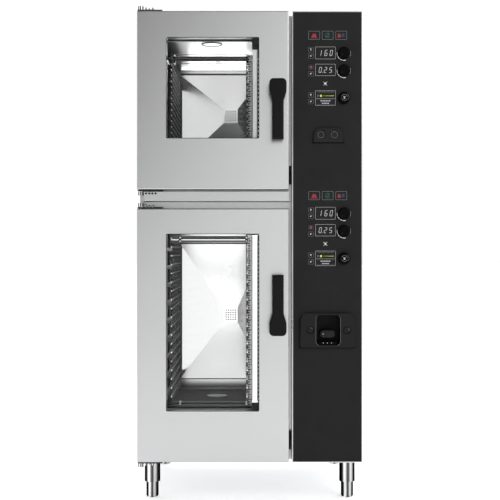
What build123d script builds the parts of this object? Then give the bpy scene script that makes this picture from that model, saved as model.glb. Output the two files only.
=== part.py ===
"""Two-deck combi steamer oven: a six-tray oven standing on a ten-tray oven.

Frame: X to the right, the doors face -Y, Z up, origin on the floor under the
middle of the oven. All sizes are in millimetres.
"""

import os
from dataclasses import dataclass

from build123d import *

os.makedirs("parts", exist_ok=True)

# Body, across X
BODY_X = (-420.0, 424.0)
COLUMN_X = (159.5, 426.0)
DOOR_X = (-426.0, 148.0)
WINDOW_X = (-316.0, 36.0)
CAVITY_X = (-352.0, 72.0)

# Body, front to back
DOOR_FRONT = -389.0
DOOR_BACK = -331.0
BODY_FRONT = -325.0
BODY_BACK = 408.0
CAVITY_BACK = 325.0
HANDLE_FRONT = -451.0
PIPE_END = 451.0

# Body, up from the floor
BASE_Z = 150.0
ROOF_Z = 1850.0
COLUMN_TOP = 1854.0
BASE_DEPTH = 40.0
BASE_Y = (-320.0, 402.0)
BASE_INSET = 6.0
BASE_SHEET = 3.0
FRAME_X = (-418.0, 159.0)
FRAME_SHEET = 3.0
FRAME_SPLIT = (1136.0, 1138.0)

# Sheet and fit
SHEET = 2.0
SKIN = 1.5
PANEL_FLANGE = 15.0
WALL_Z = (BASE_Z + 2.0, ROOF_Z - PANEL_FLANGE)
TRIM = 3.5
TRIM_GAP = 0.2
FLANGE_SHEET = 2.0
SKIN_FILLET = 4.0
WINDOW_FILLET = 6.0
CAVITY_FILLET = 20.0

# Vents: slots in the right side and the back
LOUVRE_HEIGHT = 8.0
SIDE_LOUVRES = (8, 520.0, 26.0)
SIDE_LOUVRE_Y = (180.0, 320.0)
REAR_LOUVRES = (10, 24.0)
REAR_LOUVRE_X = (150.0, 350.0)
REAR_LOUVRE_STARTS = (420.0, 1420.0)

# Insulation, seals and the gutter between the doors
WOOL = 18.0
GASKET = (3.0, 14.0)
GUTTER_X = (-400.0, 148.0)
GUTTER_Z = (1137.0, 1175.0)
GUTTER_FRONT = -377.0
SWITCH_X = (149.6, 157.6)
SWITCH_FRONT = -346.0
SWITCH_HEIGHT = 70.0
SWITCH_RISE = {"upper": 22.0, "lower": 41.0}

# Door pan
PANE = 5.0
OUTER_PANE_Y = -388.5
INNER_PANE_Y = -341.0
LAMP_X = (11.0, 28.0)
LAMP_Y = (-378.0, -356.0)
LAMP_CAP = 2.0
LAMP_CAP_GAP = 0.4

# Hinges
HINGE_X = -413.0
HINGE_Y = -364.0
PIN_R = 6.0
HUB_R = 10.0
PIN_REACH = 24.0
HINGE_GAP = 1.0
HINGE_PLATE = 5.0
PLATE_X = (-424.0, -330.0)
PLATE_FRONT = -380.0
PLATE_TOP_BACK = -280.0
PLATE_BASE_BACK = -317.0
PLATE_FOOT_FRONT = -318.0
BRACKET_HUB = 20.0

# Racks: the rails carry trays 325 wide
RAIL_PITCH = 70.0
RAIL_Y = (-296.0, 206.0)
RAIL_HEIGHT = 16.0
RAIL_SHEET = 2.0
FLANGE_INNER_X = (-305.0, -7.0)
WEB_OUTER_X = (-325.0, 11.0)
UPRIGHT = 10.0
TIE_R = 6.5
TIE_COLLAR_R = 8.0
TIE_COLLAR = 12.0
TIE_AHEAD = 8.0
RACK_TOP = 30.0
RACK_BOTTOM = 14.0

# Fan and baffle
FAN_X = -82.5
FAN_R = 125.0
FAN_Y = (272.0, 314.0)
FAN_BLADES = 18
SHAFT_R = 7.0
SHAFT_END = 360.0
BAFFLE_X = (-305.0, 66.0)
BAFFLE_Y = (217.0, 262.0)
BAFFLE_EYE = 60.0
BAFFLE_SHEET = 2.5
EYE_HOLE_R = 3.0
EYE_HOLE_PITCH = 10.0
ELEMENT_Y = (276.0, 292.0, 308.0)
ELEMENT_R = 4.5
ELEMENT_CLEARANCE = 17.0
HUB_REACH = 4.0
FAN_HUB_R = 20.0
FAN_RING = 34.0
BLADE = (38.0, 2.0)
FAN_SHEET = 2.0
MOTOR_FLANGE = (6.0, 80.0)
MOTOR_BODY = (72.0, 58.0)

# Washing nozzle and floor drain of each cavity
NOZZLE = (-132.5, 60.0)
NOZZLE_STEM = (10.0, 7.0)
NOZZLE_HEAD = (5.0, 11.0)
STRAINER = (-136.0, 16.0)
STRAINER_R = 42.0
STRAINER_HEIGHT = 4.0
STRAINER_HOLE_R = 3.5
STRAINER_RINGS = ((28.0, 12), (14.0, 6))

# Handles: a wide head on the pivot, tapering to a grip
HANDLE_X = 105.0
HEAD_WIDTH = 63.8
GRIP_WIDTH = 42.6
HEAD_REACH = 34.4
TAPER_START = 13.8
TAPER_END = 48.2
GRIP_REACH = 193.0
HEAD_CORNER = 16.0
GRIP_CORNER = 10.0
TAPER_CORNER = 14.0
HANDLE_ROUND = 7.0
HANDLE_BACK_ROUND = 4.0
HANDLE_BACK = -419.0
BOSS_R = 25.0
SPINDLE_R = 9.0
SPINDLE_LENGTH = 72.0
LATCH_R = 13.0
LATCH_Y = (-319.0, -309.0)
LATCH_WIDTH = 12.0
LATCH_HOLE = 36.0

# Controls
KNOB_X = 355.5
KNOB_R = 23.0
KNOB_FRONT = -411.0
KNOB_BACK = -391.5
KNOB_SHAFT_R = 3.0
FASCIA_Y = (-388.7, -384.7)
PUSH_TRAVEL = 1.5

# Feet
FOOT_X = 376.0
FOOT_Y = (-286.0, 354.0)
SLEEVE_R = 30.0
SLEEVE_Z = 61.0
FOOT_R = 23.5
FOOT_ROUND = 8.0
STEM_R = 10.0
STEM_LENGTH = 72.0
FIT = 0.4


@dataclass
class Deck:
    """Heights of one oven, and how its door handle points."""

    name: str
    door: tuple
    window: tuple
    cavity: tuple
    baffle: tuple
    light: tuple
    fan_z: float
    first_rail: float
    rails: int
    bar_z: float
    handle_z: float
    grip_way: int
    controls_z: float


UPPER = Deck("upper", (1181.0, 1855.0), (1373.0, 1756.0), (1288.0, 1750.0), (1330.0, 1720.0),
             (1376.0, 1707.0), 1534.0, 1316.0, 6, 1692.0, 1557.6, -1, 1762.0)
LOWER = Deck("lower", (151.0, 1109.0), (343.0, 1014.0), (345.0, 1060.0), (389.0, 979.0),
             (379.0, 1005.0), 671.0, 386.0, 10, 362.0, 666.4, 1, 1157.4)
DECKS = (UPPER, LOWER)


def save(part, node):
    """Label a finished piece and write it as a STEP file."""
    part.label = node
    export_step(part, f"parts/{node}.step")


def block(x, y, z, mode=Mode.ADD):
    """A box between its limits along each axis."""
    middle = ((x[0] + x[1]) / 2, (y[0] + y[1]) / 2, (z[0] + z[1]) / 2)
    with Locations(middle):
        return Box(x[1] - x[0], y[1] - y[0], z[1] - z[0], mode=mode)


def bar(start, axis, length, radius, mode=Mode.ADD):
    """A round bar from a point along an axis."""
    with Locations(Plane(origin=start, z_dir=axis).location):
        return Cylinder(radius, length, align=(Align.CENTER, Align.CENTER, Align.MIN), mode=mode)


def prism(x, z, y, radius, mode=Mode.ADD):
    """A prism across Y whose outline is a rectangle with rounded corners."""
    with BuildSketch(Plane.XZ.offset(-y[1]), mode=Mode.PRIVATE) as outline:
        with Locations(((x[0] + x[1]) / 2, (z[0] + z[1]) / 2)):
            RectangleRounded(x[1] - x[0], z[1] - z[0], radius)
    return extrude(outline.sketch, amount=y[1] - y[0], mode=mode)


def hood(deck, shift, mode):
    """A four-sided pyramid from the baffle's base to its eye, moved back by a shift."""
    base_x = (BAFFLE_X[0] + BAFFLE_X[1]) / 2
    base_z = (deck.baffle[0] + deck.baffle[1]) / 2
    with BuildSketch(Plane.XZ.offset(-BAFFLE_Y[1] - shift), mode=Mode.PRIVATE) as base:
        with Locations((base_x, base_z)):
            Rectangle(BAFFLE_X[1] - BAFFLE_X[0], deck.baffle[1] - deck.baffle[0])
    with BuildSketch(Plane.XZ.offset(-BAFFLE_Y[0] - shift), mode=Mode.PRIVATE) as eye:
        with Locations((FAN_X, deck.fan_z)):
            Rectangle(BAFFLE_EYE, BAFFLE_EYE)
    return loft(sections=[base.sketch.faces()[0], eye.sketch.faces()[0]], mode=mode)


def grown(limits, amount):
    """Limits moved apart by an amount at each end."""
    return (limits[0] - amount, limits[1] + amount)


# ---- chassis and casing ----

def base_frame():
    """A folded pan that the ovens stand on, with a box rail under each side."""
    with BuildPart() as pan:
        block(grown(BODY_X, -BASE_INSET), BASE_Y, (BASE_Z, BASE_Z + BASE_DEPTH))
        offset(amount=-BASE_SHEET, openings=pan.faces().sort_by(Axis.Z)[-1])
    save(pan.part, "base_frame")


def side_panel(node, skin_x, flange_x):
    """A flat side with a flange folded in at its front and back, and louvres."""
    front = BODY_FRONT + FRAME_SHEET
    back = BODY_BACK - 2 * SHEET
    rows, lowest, pitch = SIDE_LOUVRES
    with BuildPart() as panel:
        block(skin_x, (front, back), WALL_Z)
        for flange_y in ((front, front + FLANGE_SHEET), (back - FLANGE_SHEET, back)):
            block(flange_x, flange_y, WALL_Z)
        for row in range(rows):
            slot_z = lowest + pitch * row
            slot = (slot_z, slot_z + LOUVRE_HEIGHT)
            block(grown(skin_x, 1), SIDE_LOUVRE_Y, slot, mode=Mode.SUBTRACT)
    save(panel.part, node)


def rear_panel():
    """The back sheet, with vents and the holes that the pipes pass through."""
    with BuildPart() as panel:
        block(BODY_X, (BODY_BACK - SHEET, BODY_BACK), WALL_Z)
        rows, pitch = REAR_LOUVRES
        for low in REAR_LOUVRE_STARTS:
            for row in range(rows):
                slot = (low + pitch * row, low + pitch * row + LOUVRE_HEIGHT)
                block(REAR_LOUVRE_X, (BODY_BACK - 5, BODY_BACK + 5), slot, mode=Mode.SUBTRACT)
        for x, z, radius in PIPE_HOLES:
            bar((x, BODY_BACK - 5, z), (0, 1, 0), 10, radius, mode=Mode.SUBTRACT)
    save(panel.part, "rear_panel")


def roof_panel():
    """The top sheet, folded down all round, with a hole for each exhaust stack."""
    with BuildPart() as roof:
        front = BODY_FRONT + FRAME_SHEET
        block(BODY_X, (front, BODY_BACK), (ROOF_Z - PANEL_FLANGE, ROOF_Z))
        fillet(roof.faces().sort_by(Axis.Z)[-1].edges(), SKIN)
        inside_y = (front + SHEET, BODY_BACK - SHEET)
        inside_z = (ROOF_Z - 2 * PANEL_FLANGE, ROOF_Z - SHEET)
        block(grown(BODY_X, -SHEET), inside_y, inside_z, mode=Mode.SUBTRACT)
        for x, y in STACKS:
            bar((x, y, ROOF_Z - 10), (0, 0, 1), 20, STACK_R - SHEET, mode=Mode.SUBTRACT)
    save(roof.part, "roof_panel")


def front_frames():
    """Strips welded into a frame round each cavity's mouth, with a square latch hole."""
    strips = []
    heights = ((BASE_Z + SHEET, FRAME_SPLIT[0]), (FRAME_SPLIT[1], ROOF_Z - SHEET))
    for deck, frame_z in zip((LOWER, UPPER), heights):
        hole_x = (HANDLE_X - LATCH_HOLE / 2, HANDLE_X + LATCH_HOLE / 2)
        hole_z = (deck.handle_z - LATCH_HOLE / 2, deck.handle_z + LATCH_HOLE / 2)
        right_x = (CAVITY_X[1], FRAME_X[1])
        for x, z in (
            ((FRAME_X[0], CAVITY_X[0]), frame_z),
            (CAVITY_X, (frame_z[0], deck.cavity[0])),
            (CAVITY_X, (deck.cavity[1], frame_z[1])),
            (right_x, (frame_z[0], hole_z[0])),
            (right_x, (hole_z[1], frame_z[1])),
            ((right_x[0], hole_x[0]), hole_z),
            ((hole_x[1], right_x[1]), hole_z),
        ):
            with BuildPart() as strip:
                block(x, (BODY_FRONT, BODY_FRONT + FRAME_SHEET), z)
            strips.append(strip.part)
    frames = Compound([solid for strip in strips for solid in strip.solids()])
    save(frames, "front_frames")


def cavity(deck):
    """A pressed oven cavity, open to the front, with rounded corners."""
    with BuildPart() as shell:
        outer_y = (BODY_FRONT + FRAME_SHEET, CAVITY_BACK + SHEET)
        prism(grown(CAVITY_X, SHEET), grown(deck.cavity, SHEET), outer_y, CAVITY_FILLET + SHEET)
        prism(CAVITY_X, deck.cavity, (BODY_FRONT, CAVITY_BACK), CAVITY_FILLET, Mode.SUBTRACT)
        bar((FAN_X, CAVITY_BACK - 2, deck.fan_z), (0, 1, 0), 8, SHAFT_R + 3, mode=Mode.SUBTRACT)
    save(shell.part, f"{deck.name}_cavity")


def insulation():
    """Mineral-wool jackets round the cavities' tops, sides and bottoms."""
    with BuildPart() as jackets:
        for deck in DECKS:
            run = (BODY_FRONT + 30, CAVITY_BACK - 4)
            out = SHEET + WOOL
            prism(grown(CAVITY_X, out), grown(deck.cavity, out), run, CAVITY_FILLET + out)
            gap = SHEET + 0.2
            prism(grown(CAVITY_X, gap), grown(deck.cavity, gap), grown(run, 1),
                  CAVITY_FILLET + gap, Mode.SUBTRACT)
    save(jackets.part, "insulation")


def door_gaskets():
    """A rubber ring round each cavity's mouth."""
    with BuildPart() as gaskets:
        for deck in DECKS:
            run = (DOOR_BACK + FIT, BODY_FRONT)
            inner, outer = GASKET
            prism(grown(CAVITY_X, outer), grown(deck.cavity, outer), run, CAVITY_FILLET + outer)
            prism(grown(CAVITY_X, inner), grown(deck.cavity, inner), grown(run, 1),
                  CAVITY_FILLET, Mode.SUBTRACT)
    save(gaskets.part, "door_gaskets")


def drip_channel():
    """An open gutter between the doors, which catches the upper door's drips."""
    with BuildPart() as channel:
        block(GUTTER_X, (GUTTER_FRONT, BODY_FRONT), GUTTER_Z)
        fillet(channel.edges().filter_by(Axis.X).group_by(Axis.Y)[0], 3)
        hollow_y = (GUTTER_FRONT + SHEET, BODY_FRONT - SHEET)
        hollow_z = (GUTTER_Z[0] + SHEET, GUTTER_Z[1] + SHEET)
        block(grown(GUTTER_X, -SHEET), hollow_y, hollow_z, mode=Mode.SUBTRACT)
    save(channel.part, "drip_channel")


def door_switches():
    """A switch housing on the body beside each door's free edge."""
    with BuildPart() as switches:
        for deck in DECKS:
            low = deck.door[0] + SWITCH_RISE[deck.name]
            block(SWITCH_X, (SWITCH_FRONT, BODY_FRONT), (low, low + SWITCH_HEIGHT))
        fillet(switches.edges().filter_by(Axis.Z), SKIN)
    save(switches.part, "door_switches")


# ---- inside the cavities ----

def fan_baffles():
    """A shallow four-sided hood before each fan, with a perforated eye."""
    with BuildPart() as baffles:
        for deck in DECKS:
            hood(deck, 0.0, Mode.ADD)
            hood(deck, BAFFLE_SHEET, Mode.SUBTRACT)
            with Locations(Plane(origin=(FAN_X, BAFFLE_Y[0] - 2, deck.fan_z), z_dir=(0, 1, 0)).location):
                with GridLocations(EYE_HOLE_PITCH, EYE_HOLE_PITCH, 5, 5):
                    Cylinder(EYE_HOLE_R, 12, mode=Mode.SUBTRACT)
    save(baffles.part, "fan_baffles")


def heating_elements():
    """Three ring-shaped elements round each fan."""
    with BuildPart() as elements:
        for deck in DECKS:
            for y in ELEMENT_Y:
                with Locations(Plane(origin=(FAN_X, y, deck.fan_z), z_dir=(0, 1, 0)).location):
                    Torus(FAN_R + ELEMENT_CLEARANCE, ELEMENT_R)
    save(elements.part, "heating_elements")


def fan_wheel(deck):
    """A radial fan wheel: back plate, blades, front ring, and its shaft."""
    with BuildPart() as wheel:
        width = FAN_Y[1] - FAN_Y[0]
        bar((FAN_X, FAN_Y[1] - FAN_SHEET, deck.fan_z), (0, 1, 0), FAN_SHEET, FAN_R)
        bar((FAN_X, FAN_Y[0] + HUB_REACH, deck.fan_z), (0, 1, 0), width - HUB_REACH, FAN_HUB_R)
        bar((FAN_X, FAN_Y[1], deck.fan_z), (0, 1, 0), SHAFT_END - FAN_Y[1], SHAFT_R)
        hub = Plane(origin=(FAN_X, FAN_Y[0], deck.fan_z), z_dir=(0, 1, 0))
        with Locations(hub.location):
            with PolarLocations(0, FAN_BLADES):
                with Locations((FAN_R - BLADE[0] / 2 - 3, 0, width / 2 - 0.5)):
                    Box(BLADE[0], BLADE[1], width - 3)
        bar((FAN_X, FAN_Y[0], deck.fan_z), (0, 1, 0), FAN_SHEET, FAN_R)
        bar((FAN_X, FAN_Y[0] - 1, deck.fan_z), (0, 1, 0), HUB_REACH, FAN_R - FAN_RING, mode=Mode.SUBTRACT)
    save(wheel.part, f"{deck.name}_fan_wheel")


def fan_motors():
    """A flanged motor behind each cavity, bored for the fan's shaft."""
    with BuildPart() as motors:
        for deck in DECKS:
            for length, radius in (MOTOR_FLANGE, MOTOR_BODY):
                bar((FAN_X, CAVITY_BACK + SHEET, deck.fan_z), (0, 1, 0), length, radius)
            bar((FAN_X, CAVITY_BACK, deck.fan_z), (0, 1, 0), SHAFT_END - CAVITY_BACK + 2,
                SHAFT_R + FIT, mode=Mode.SUBTRACT)
    save(motors.part, "fan_motors")


def rack_side(deck, side):
    """Separate bars and rails of one side of a rack; side is -1 left, +1 right."""
    web = WEB_OUTER_X[0] if side < 0 else WEB_OUTER_X[1]
    toe = FLANGE_INNER_X[0] if side < 0 else FLANGE_INNER_X[1]
    outer = web + side * UPRIGHT
    upright_x = (min(web, outer), max(web, outer))
    web_x = (min(web, web - side * RAIL_SHEET), max(web, web - side * RAIL_SHEET))
    flange_x = (min(web, toe), max(web, toe))
    top = deck.first_rail + RAIL_PITCH * (deck.rails - 1) + RACK_TOP
    bottom = deck.first_rail - RACK_BOTTOM
    pieces = []
    for y in (RAIL_Y[0], (RAIL_Y[0] + RAIL_Y[1] - UPRIGHT) / 2, RAIL_Y[1] - UPRIGHT):
        with BuildPart() as upright:
            block(upright_x, (y, y + UPRIGHT), (bottom, top))
        pieces.append(upright.part)
    for z in (bottom - UPRIGHT, top):
        with BuildPart() as runner:
            block(upright_x, RAIL_Y, (z, z + UPRIGHT))
        pieces.append(runner.part)
    for level in range(deck.rails):
        z = deck.first_rail + RAIL_PITCH * level
        with BuildPart() as rail:
            block(web_x, RAIL_Y, (z, z + RAIL_HEIGHT))
            block(flange_x, RAIL_Y, (z, z + RAIL_SHEET))
        pieces.append(rail.part)
    return pieces


def racks(deck):
    """Both sides of a cavity's tray rack, and the bar that ties them at the front."""
    pieces = rack_side(deck, -1) + rack_side(deck, 1)
    with BuildPart() as tie:
        reach = WEB_OUTER_X[1] - WEB_OUTER_X[0]
        tie_y = RAIL_Y[0] - TIE_AHEAD
        bar((WEB_OUTER_X[0], tie_y, deck.bar_z), (1, 0, 0), reach, TIE_R)
        for x in (WEB_OUTER_X[0], WEB_OUTER_X[1] - TIE_COLLAR):
            bar((x, tie_y, deck.bar_z), (1, 0, 0), TIE_COLLAR, TIE_COLLAR_R)
    pieces.append(tie.part)
    rack = Compound([solid for piece in pieces for solid in piece.solids()])
    save(rack, f"{deck.name}_racks")


def spray_nozzles():
    """A washing nozzle on the ceiling of each cavity."""
    with BuildPart() as nozzles:
        for deck in DECKS:
            drop = deck.cavity[1]
            for length, radius in (NOZZLE_STEM, NOZZLE_HEAD):
                bar((*NOZZLE, drop), (0, 0, -1), length, radius)
                drop -= length
    save(nozzles.part, "spray_nozzles")


def drain_covers():
    """A perforated strainer in the floor of each cavity."""
    with BuildPart() as covers:
        for deck in DECKS:
            with Locations((*STRAINER, deck.cavity[0] + STRAINER_HEIGHT / 2)):
                Cylinder(STRAINER_R, STRAINER_HEIGHT)
                for ring_r, holes in STRAINER_RINGS:
                    with PolarLocations(ring_r, holes):
                        Cylinder(STRAINER_HOLE_R, 3 * STRAINER_HEIGHT, mode=Mode.SUBTRACT)
    save(covers.part, "drain_covers")


# ---- services ----

STACKS = ((230.0, 300.0), (340.0, 300.0))
STACK_R = 25.0
STACK_TOP = 1905.0
STACK_FLANGE = (3.0, 37.0)
INLETS = ((250.0, 330.0), (310.0, 330.0))
INLET_R = 13.2
INLET_WALL = 4.0
INLET_LENGTH = 26.0
INLET_FLANGE = (5.0, 19.2)
DRAIN = (-82.5, 220.0)
DRAIN_R = 25.0
DRAIN_WALL = 2.5
DRAIN_START = 330.0
GLAND = (370.0, 330.0)
GLAND_BORE = 9.0
GLAND_NUTS = ((8.0, 20.0), (22.0, 16.0))
BOILER = (250.0, 120.0)
BOILER_Z = (300.0, 1300.0)
BOILER_TANK = (320.0, 75.0)
BOILER_NECK = (40.0, 18.0)
PIPE_HOLES = [(x, z, INLET_R - 3) for x, z in INLETS]
PIPE_HOLES += [(*DRAIN, DRAIN_R + 1), (*GLAND, GLAND_BORE)]


def exhaust_stacks():
    """Two short steam outlets on the roof."""
    with BuildPart() as stacks:
        for x, y in STACKS:
            bar((x, y, ROOF_Z), (0, 0, 1), STACK_FLANGE[0], STACK_FLANGE[1])
            bar((x, y, ROOF_Z), (0, 0, 1), STACK_TOP - ROOF_Z, STACK_R)
            bar((x, y, ROOF_Z - 1), (0, 0, 1), 80, STACK_R - SHEET, mode=Mode.SUBTRACT)
    save(stacks.part, "exhaust_stacks")


def water_inlets():
    """Two hose connections for a three-quarter-inch thread."""
    with BuildPart() as inlets:
        for x, z in INLETS:
            for length, radius in (INLET_FLANGE, (INLET_LENGTH, INLET_R)):
                bar((x, BODY_BACK, z), (0, 1, 0), length, radius)
            bar((x, BODY_BACK - 1, z), (0, 1, 0), 40, INLET_R - INLET_WALL, mode=Mode.SUBTRACT)
    save(inlets.part, "water_inlets")


def drain_outlet():
    """The drain pipe, from the trap under the lower cavity out at the back."""
    x, z = DRAIN
    with BuildPart() as drain:
        bar((x, DRAIN_START, z), (0, 1, 0), PIPE_END - DRAIN_START, DRAIN_R)
        bore_start = DRAIN_START + 4 * DRAIN_WALL
        bar((x, bore_start, z), (0, 1, 0), PIPE_END - DRAIN_START, DRAIN_R - DRAIN_WALL, mode=Mode.SUBTRACT)
    save(drain.part, "drain_outlet")


def cable_gland():
    """The gland for the supply cable."""
    x, z = GLAND
    with BuildPart() as gland:
        start = BODY_BACK
        for length, radius in GLAND_NUTS:
            bar((x, start, z), (0, 1, 0), length, radius)
            start += length
        fillet(gland.faces().sort_by(Axis.Y)[-1].edges(), 4)
        bar((x, BODY_BACK - 1, z), (0, 1, 0), 40, GLAND_BORE, mode=Mode.SUBTRACT)
    save(gland.part, "cable_gland")


def steam_generators():
    """A steam boiler for each oven, in the right-hand service space."""
    with BuildPart() as boilers:
        for z in BOILER_Z:
            bar((*BOILER, z), (0, 0, 1), *BOILER_TANK)
            bar((*BOILER, z + BOILER_TANK[0]), (0, 0, 1), *BOILER_NECK)
        rims = boilers.edges().filter_by(GeomType.CIRCLE)
        fillet(rims.filter_by(lambda edge: edge.radius == BOILER_TANK[1]), 20)
    save(boilers.part, "steam_generators")


# ---- doors ----

def door_skin(deck):
    """The door's outer pan, folded back at its four edges."""
    with BuildPart() as skin:
        block(DOOR_X, (DOOR_FRONT, DOOR_BACK - SHEET), deck.door)
        fillet(skin.faces().sort_by(Axis.Y)[0].edges(), SKIN_FILLET)
        offset(amount=-SKIN, openings=skin.faces().sort_by(Axis.Y)[-1])
        prism(WINDOW_X, deck.window, (DOOR_FRONT - 2, DOOR_FRONT + 6), WINDOW_FILLET, Mode.SUBTRACT)
        bar((HANDLE_X, DOOR_FRONT - 2, deck.handle_z), (0, 1, 0), 8, SPINDLE_R + 2, mode=Mode.SUBTRACT)
        for z in deck.door:
            bar((HINGE_X, HINGE_Y, z - 10), (0, 0, 1), 20, PIN_R + 0.6, mode=Mode.SUBTRACT)
    save(skin.part, f"{deck.name}_door_skin")


def door_liner(deck):
    """The door's back sheet, its window tunnel, and two hinge bushes."""
    tunnel_y = (DOOR_FRONT + SKIN, DOOR_BACK)
    with BuildPart() as liner:
        block(DOOR_X, (DOOR_BACK - SHEET, DOOR_BACK), deck.door)
        prism(grown(WINDOW_X, SKIN), grown(deck.window, SKIN), tunnel_y, WINDOW_FILLET + SKIN)
        prism(WINDOW_X, deck.window, grown(tunnel_y, 2), WINDOW_FILLET, Mode.SUBTRACT)
        bar((HANDLE_X, DOOR_BACK - 5, deck.handle_z), (0, 1, 0), 10, LATCH_R + 2, mode=Mode.SUBTRACT)
        for end, way in ((deck.door[0] + SKIN, 1), (deck.door[1] - SKIN, -1)):
            bar((HINGE_X, HINGE_Y, end), (0, 0, way), PIN_REACH + 4, HUB_R)
            bar((HINGE_X, HINGE_Y, end), (0, 0, way), PIN_REACH + 4, PIN_R + 0.05, mode=Mode.SUBTRACT)
    save(liner.part, f"{deck.name}_door_liner")


def glass_panes(deck):
    """The door's outer and inner panes."""
    with BuildPart() as panes:
        for y in (OUTER_PANE_Y, INNER_PANE_Y):
            prism(grown(WINDOW_X, -FIT), grown(deck.window, -FIT), (y, y + PANE), WINDOW_FILLET)
    save(panes.part, f"{deck.name}_glass_panes")


def light_bar(deck):
    """A lamp strip in the door's tunnel, between the panes, with two end caps."""
    with BuildPart() as lamp:
        block(LAMP_X, LAMP_Y, deck.light)
        fillet(lamp.edges().filter_by(Axis.Z), 3)
        for z in (deck.light[0] - LAMP_CAP_GAP - LAMP_CAP, deck.light[1] + LAMP_CAP_GAP):
            block(grown(LAMP_X, LAMP_CAP), grown(LAMP_Y, LAMP_CAP), (z, z + LAMP_CAP))
    save(lamp.part, f"{deck.name}_light_bar")


def hinge_brackets():
    """Plate, hub and pin above and below each door."""
    with BuildPart() as brackets:
        for deck in DECKS:
            for end, way in ((deck.door[0], -1), (deck.door[1], 1)):
                inner = end + way * HINGE_GAP
                outer = inner + way * HINGE_PLATE
                plate_z = (min(inner, outer), max(inner, outer))
                plate_back = BODY_FRONT
                if deck is UPPER and way > 0:
                    plate_back = PLATE_TOP_BACK
                if deck is LOWER and way < 0:
                    plate_back = PLATE_BASE_BACK
                block(PLATE_X, (PLATE_FRONT, plate_back), plate_z)
                bar((HINGE_X, HINGE_Y, inner), (0, 0, way), BRACKET_HUB, HUB_R)
                bar((HINGE_X, HINGE_Y, inner), (0, 0, -way), PIN_REACH, PIN_R)
        block(PLATE_X, (PLATE_FOOT_FRONT, PLATE_TOP_BACK), (ROOF_Z, UPPER.door[1] + HINGE_GAP))
    save(brackets.part, "hinge_brackets")


def handle(deck):
    """A lever: a wide head round the pivot and a long grip."""
    way = deck.grip_way
    x, z = HANDLE_X, deck.handle_z
    outline = [
        (x - HEAD_WIDTH / 2, z - way * HEAD_REACH),
        (x + HEAD_WIDTH / 2, z - way * HEAD_REACH),
        (x + HEAD_WIDTH / 2, z + way * TAPER_START),
        (x + GRIP_WIDTH / 2, z + way * TAPER_END),
        (x + GRIP_WIDTH / 2, z + way * GRIP_REACH),
        (x - GRIP_WIDTH / 2, z + way * GRIP_REACH),
        (x - GRIP_WIDTH / 2, z + way * TAPER_END),
        (x - HEAD_WIDTH / 2, z + way * TAPER_START),
    ]
    with BuildPart() as lever:
        with BuildSketch(Plane.XZ.offset(-HANDLE_BACK)) as side:
            with BuildLine():
                Polyline(*outline, close=True)
            make_face()
            rows = side.vertices().group_by(Axis.Y)
            head, grip = (rows[0], rows[-1]) if way > 0 else (rows[-1], rows[0])
            fillet(head, HEAD_CORNER)
            fillet(grip, GRIP_CORNER)
            fillet(side.vertices().sort_by_distance((x, z + way * 30))[:4], TAPER_CORNER)
        extrude(amount=HANDLE_BACK - HANDLE_FRONT)
        fillet(lever.faces().sort_by(Axis.Y)[0].edges(), HANDLE_ROUND)
        fillet(lever.faces().sort_by(Axis.Y)[-1].edges(), HANDLE_BACK_ROUND)
        bar((x, HANDLE_BACK - 1, z), (0, 1, 0), DOOR_FRONT - FIT - HANDLE_BACK + 1, BOSS_R)
    save(lever.part, f"{deck.name}_handle")


def latch(deck):
    """The spindle through the door, with the T-shaped bolt on its inner end."""
    with BuildPart() as bolt:
        start = (HANDLE_X, DOOR_FRONT - FIT, deck.handle_z)
        bar(start, (0, 1, 0), SPINDLE_LENGTH, SPINDLE_R)
        half = LATCH_WIDTH / 2
        block((HANDLE_X - half, HANDLE_X + half), LATCH_Y,
              (deck.handle_z - LATCH_R + 1, deck.handle_z + LATCH_R - 1))
    save(bolt.part, f"{deck.name}_latch")


# ---- control column ----

DISPLAYS = (
    ((247.0, 324.0), (-90.0, -43.0)),
    ((247.0, 324.0), (-153.0, -108.0)),
    ((247.0, 324.0), (-265.0, -208.0)),
)
MODE_KEYS_X = (243.0, 294.0, 345.0)
MODE_KEY = (42.6, 32.4)
SMALL_KEY_X = 231.0
SMALL_KEY = (20.0, 18.0)
SMALL_KEY_DROPS = (54.0, 78.0, 120.0, 145.0, 225.0, 250.0)
STAR_KEY = (285.0, 182.0)
KNOB_DROPS = {"temperature": 67.4, "time": 133.0, "scroll": 237.0}
PROBE_X = (241.0, 348.0)
PROBE_Z = (1358.0, 1412.0)
PROBE_FRONT = -399.0
PLUGS_X = (268.6, 320.2)
PLUG_Z = 1388.0
HOUSING_ROUND = 2.0
PROBE_CORNER = 25.0
PLUG_WELL = (3.0, 18.0)
PLUG_CAP = (2.0, 15.0)
SHOWER_X = (190.0, 394.0)
SHOWER_Z = (585.0, 714.0)
SHOWER_FRONT = -404.0
SHOWER_CORNER = 30.0
POCKET_X = (249.0, 341.0)
POCKET_Z = (594.0, 708.0)
POCKET_BACK = -334.0
POCKET_CORNER = 16.0
POCKET_WALL = 2.0
FINGER_X = (227.5, 364.7)
FINGER_Z = 650.5
FINGER_WELL = (5.0, 15.0)
FINGER_CAP = (3.0, 10.0)
NOSE_X = (265.0, 320.0)
NOSE_Z = (622.0, 651.0)
NOSE_Y = (-401.0, -340.0)
NOSE_CORNER = 11.0
BOARD_X = (180.0, 405.0)
BOARD_Y = (-352.0, -350.0)
BOARD_Z = (-290.0, 25.0)
ENCODER = (16.0, 10.0)


def control_column():
    """The steel surround of the control panel, folded back to the body."""
    with BuildPart() as column:
        block(COLUMN_X, (DOOR_FRONT, BODY_FRONT + FRAME_SHEET), (BASE_Z, COLUMN_TOP))
        fillet(column.faces().sort_by(Axis.Y)[0].edges(), HOUSING_ROUND)
        block(grown(COLUMN_X, -TRIM), (DOOR_FRONT - 2, BODY_FRONT + 5), (BASE_Z + TRIM, COLUMN_TOP - TRIM),
              mode=Mode.SUBTRACT)
    save(column.part, "control_column")


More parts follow.
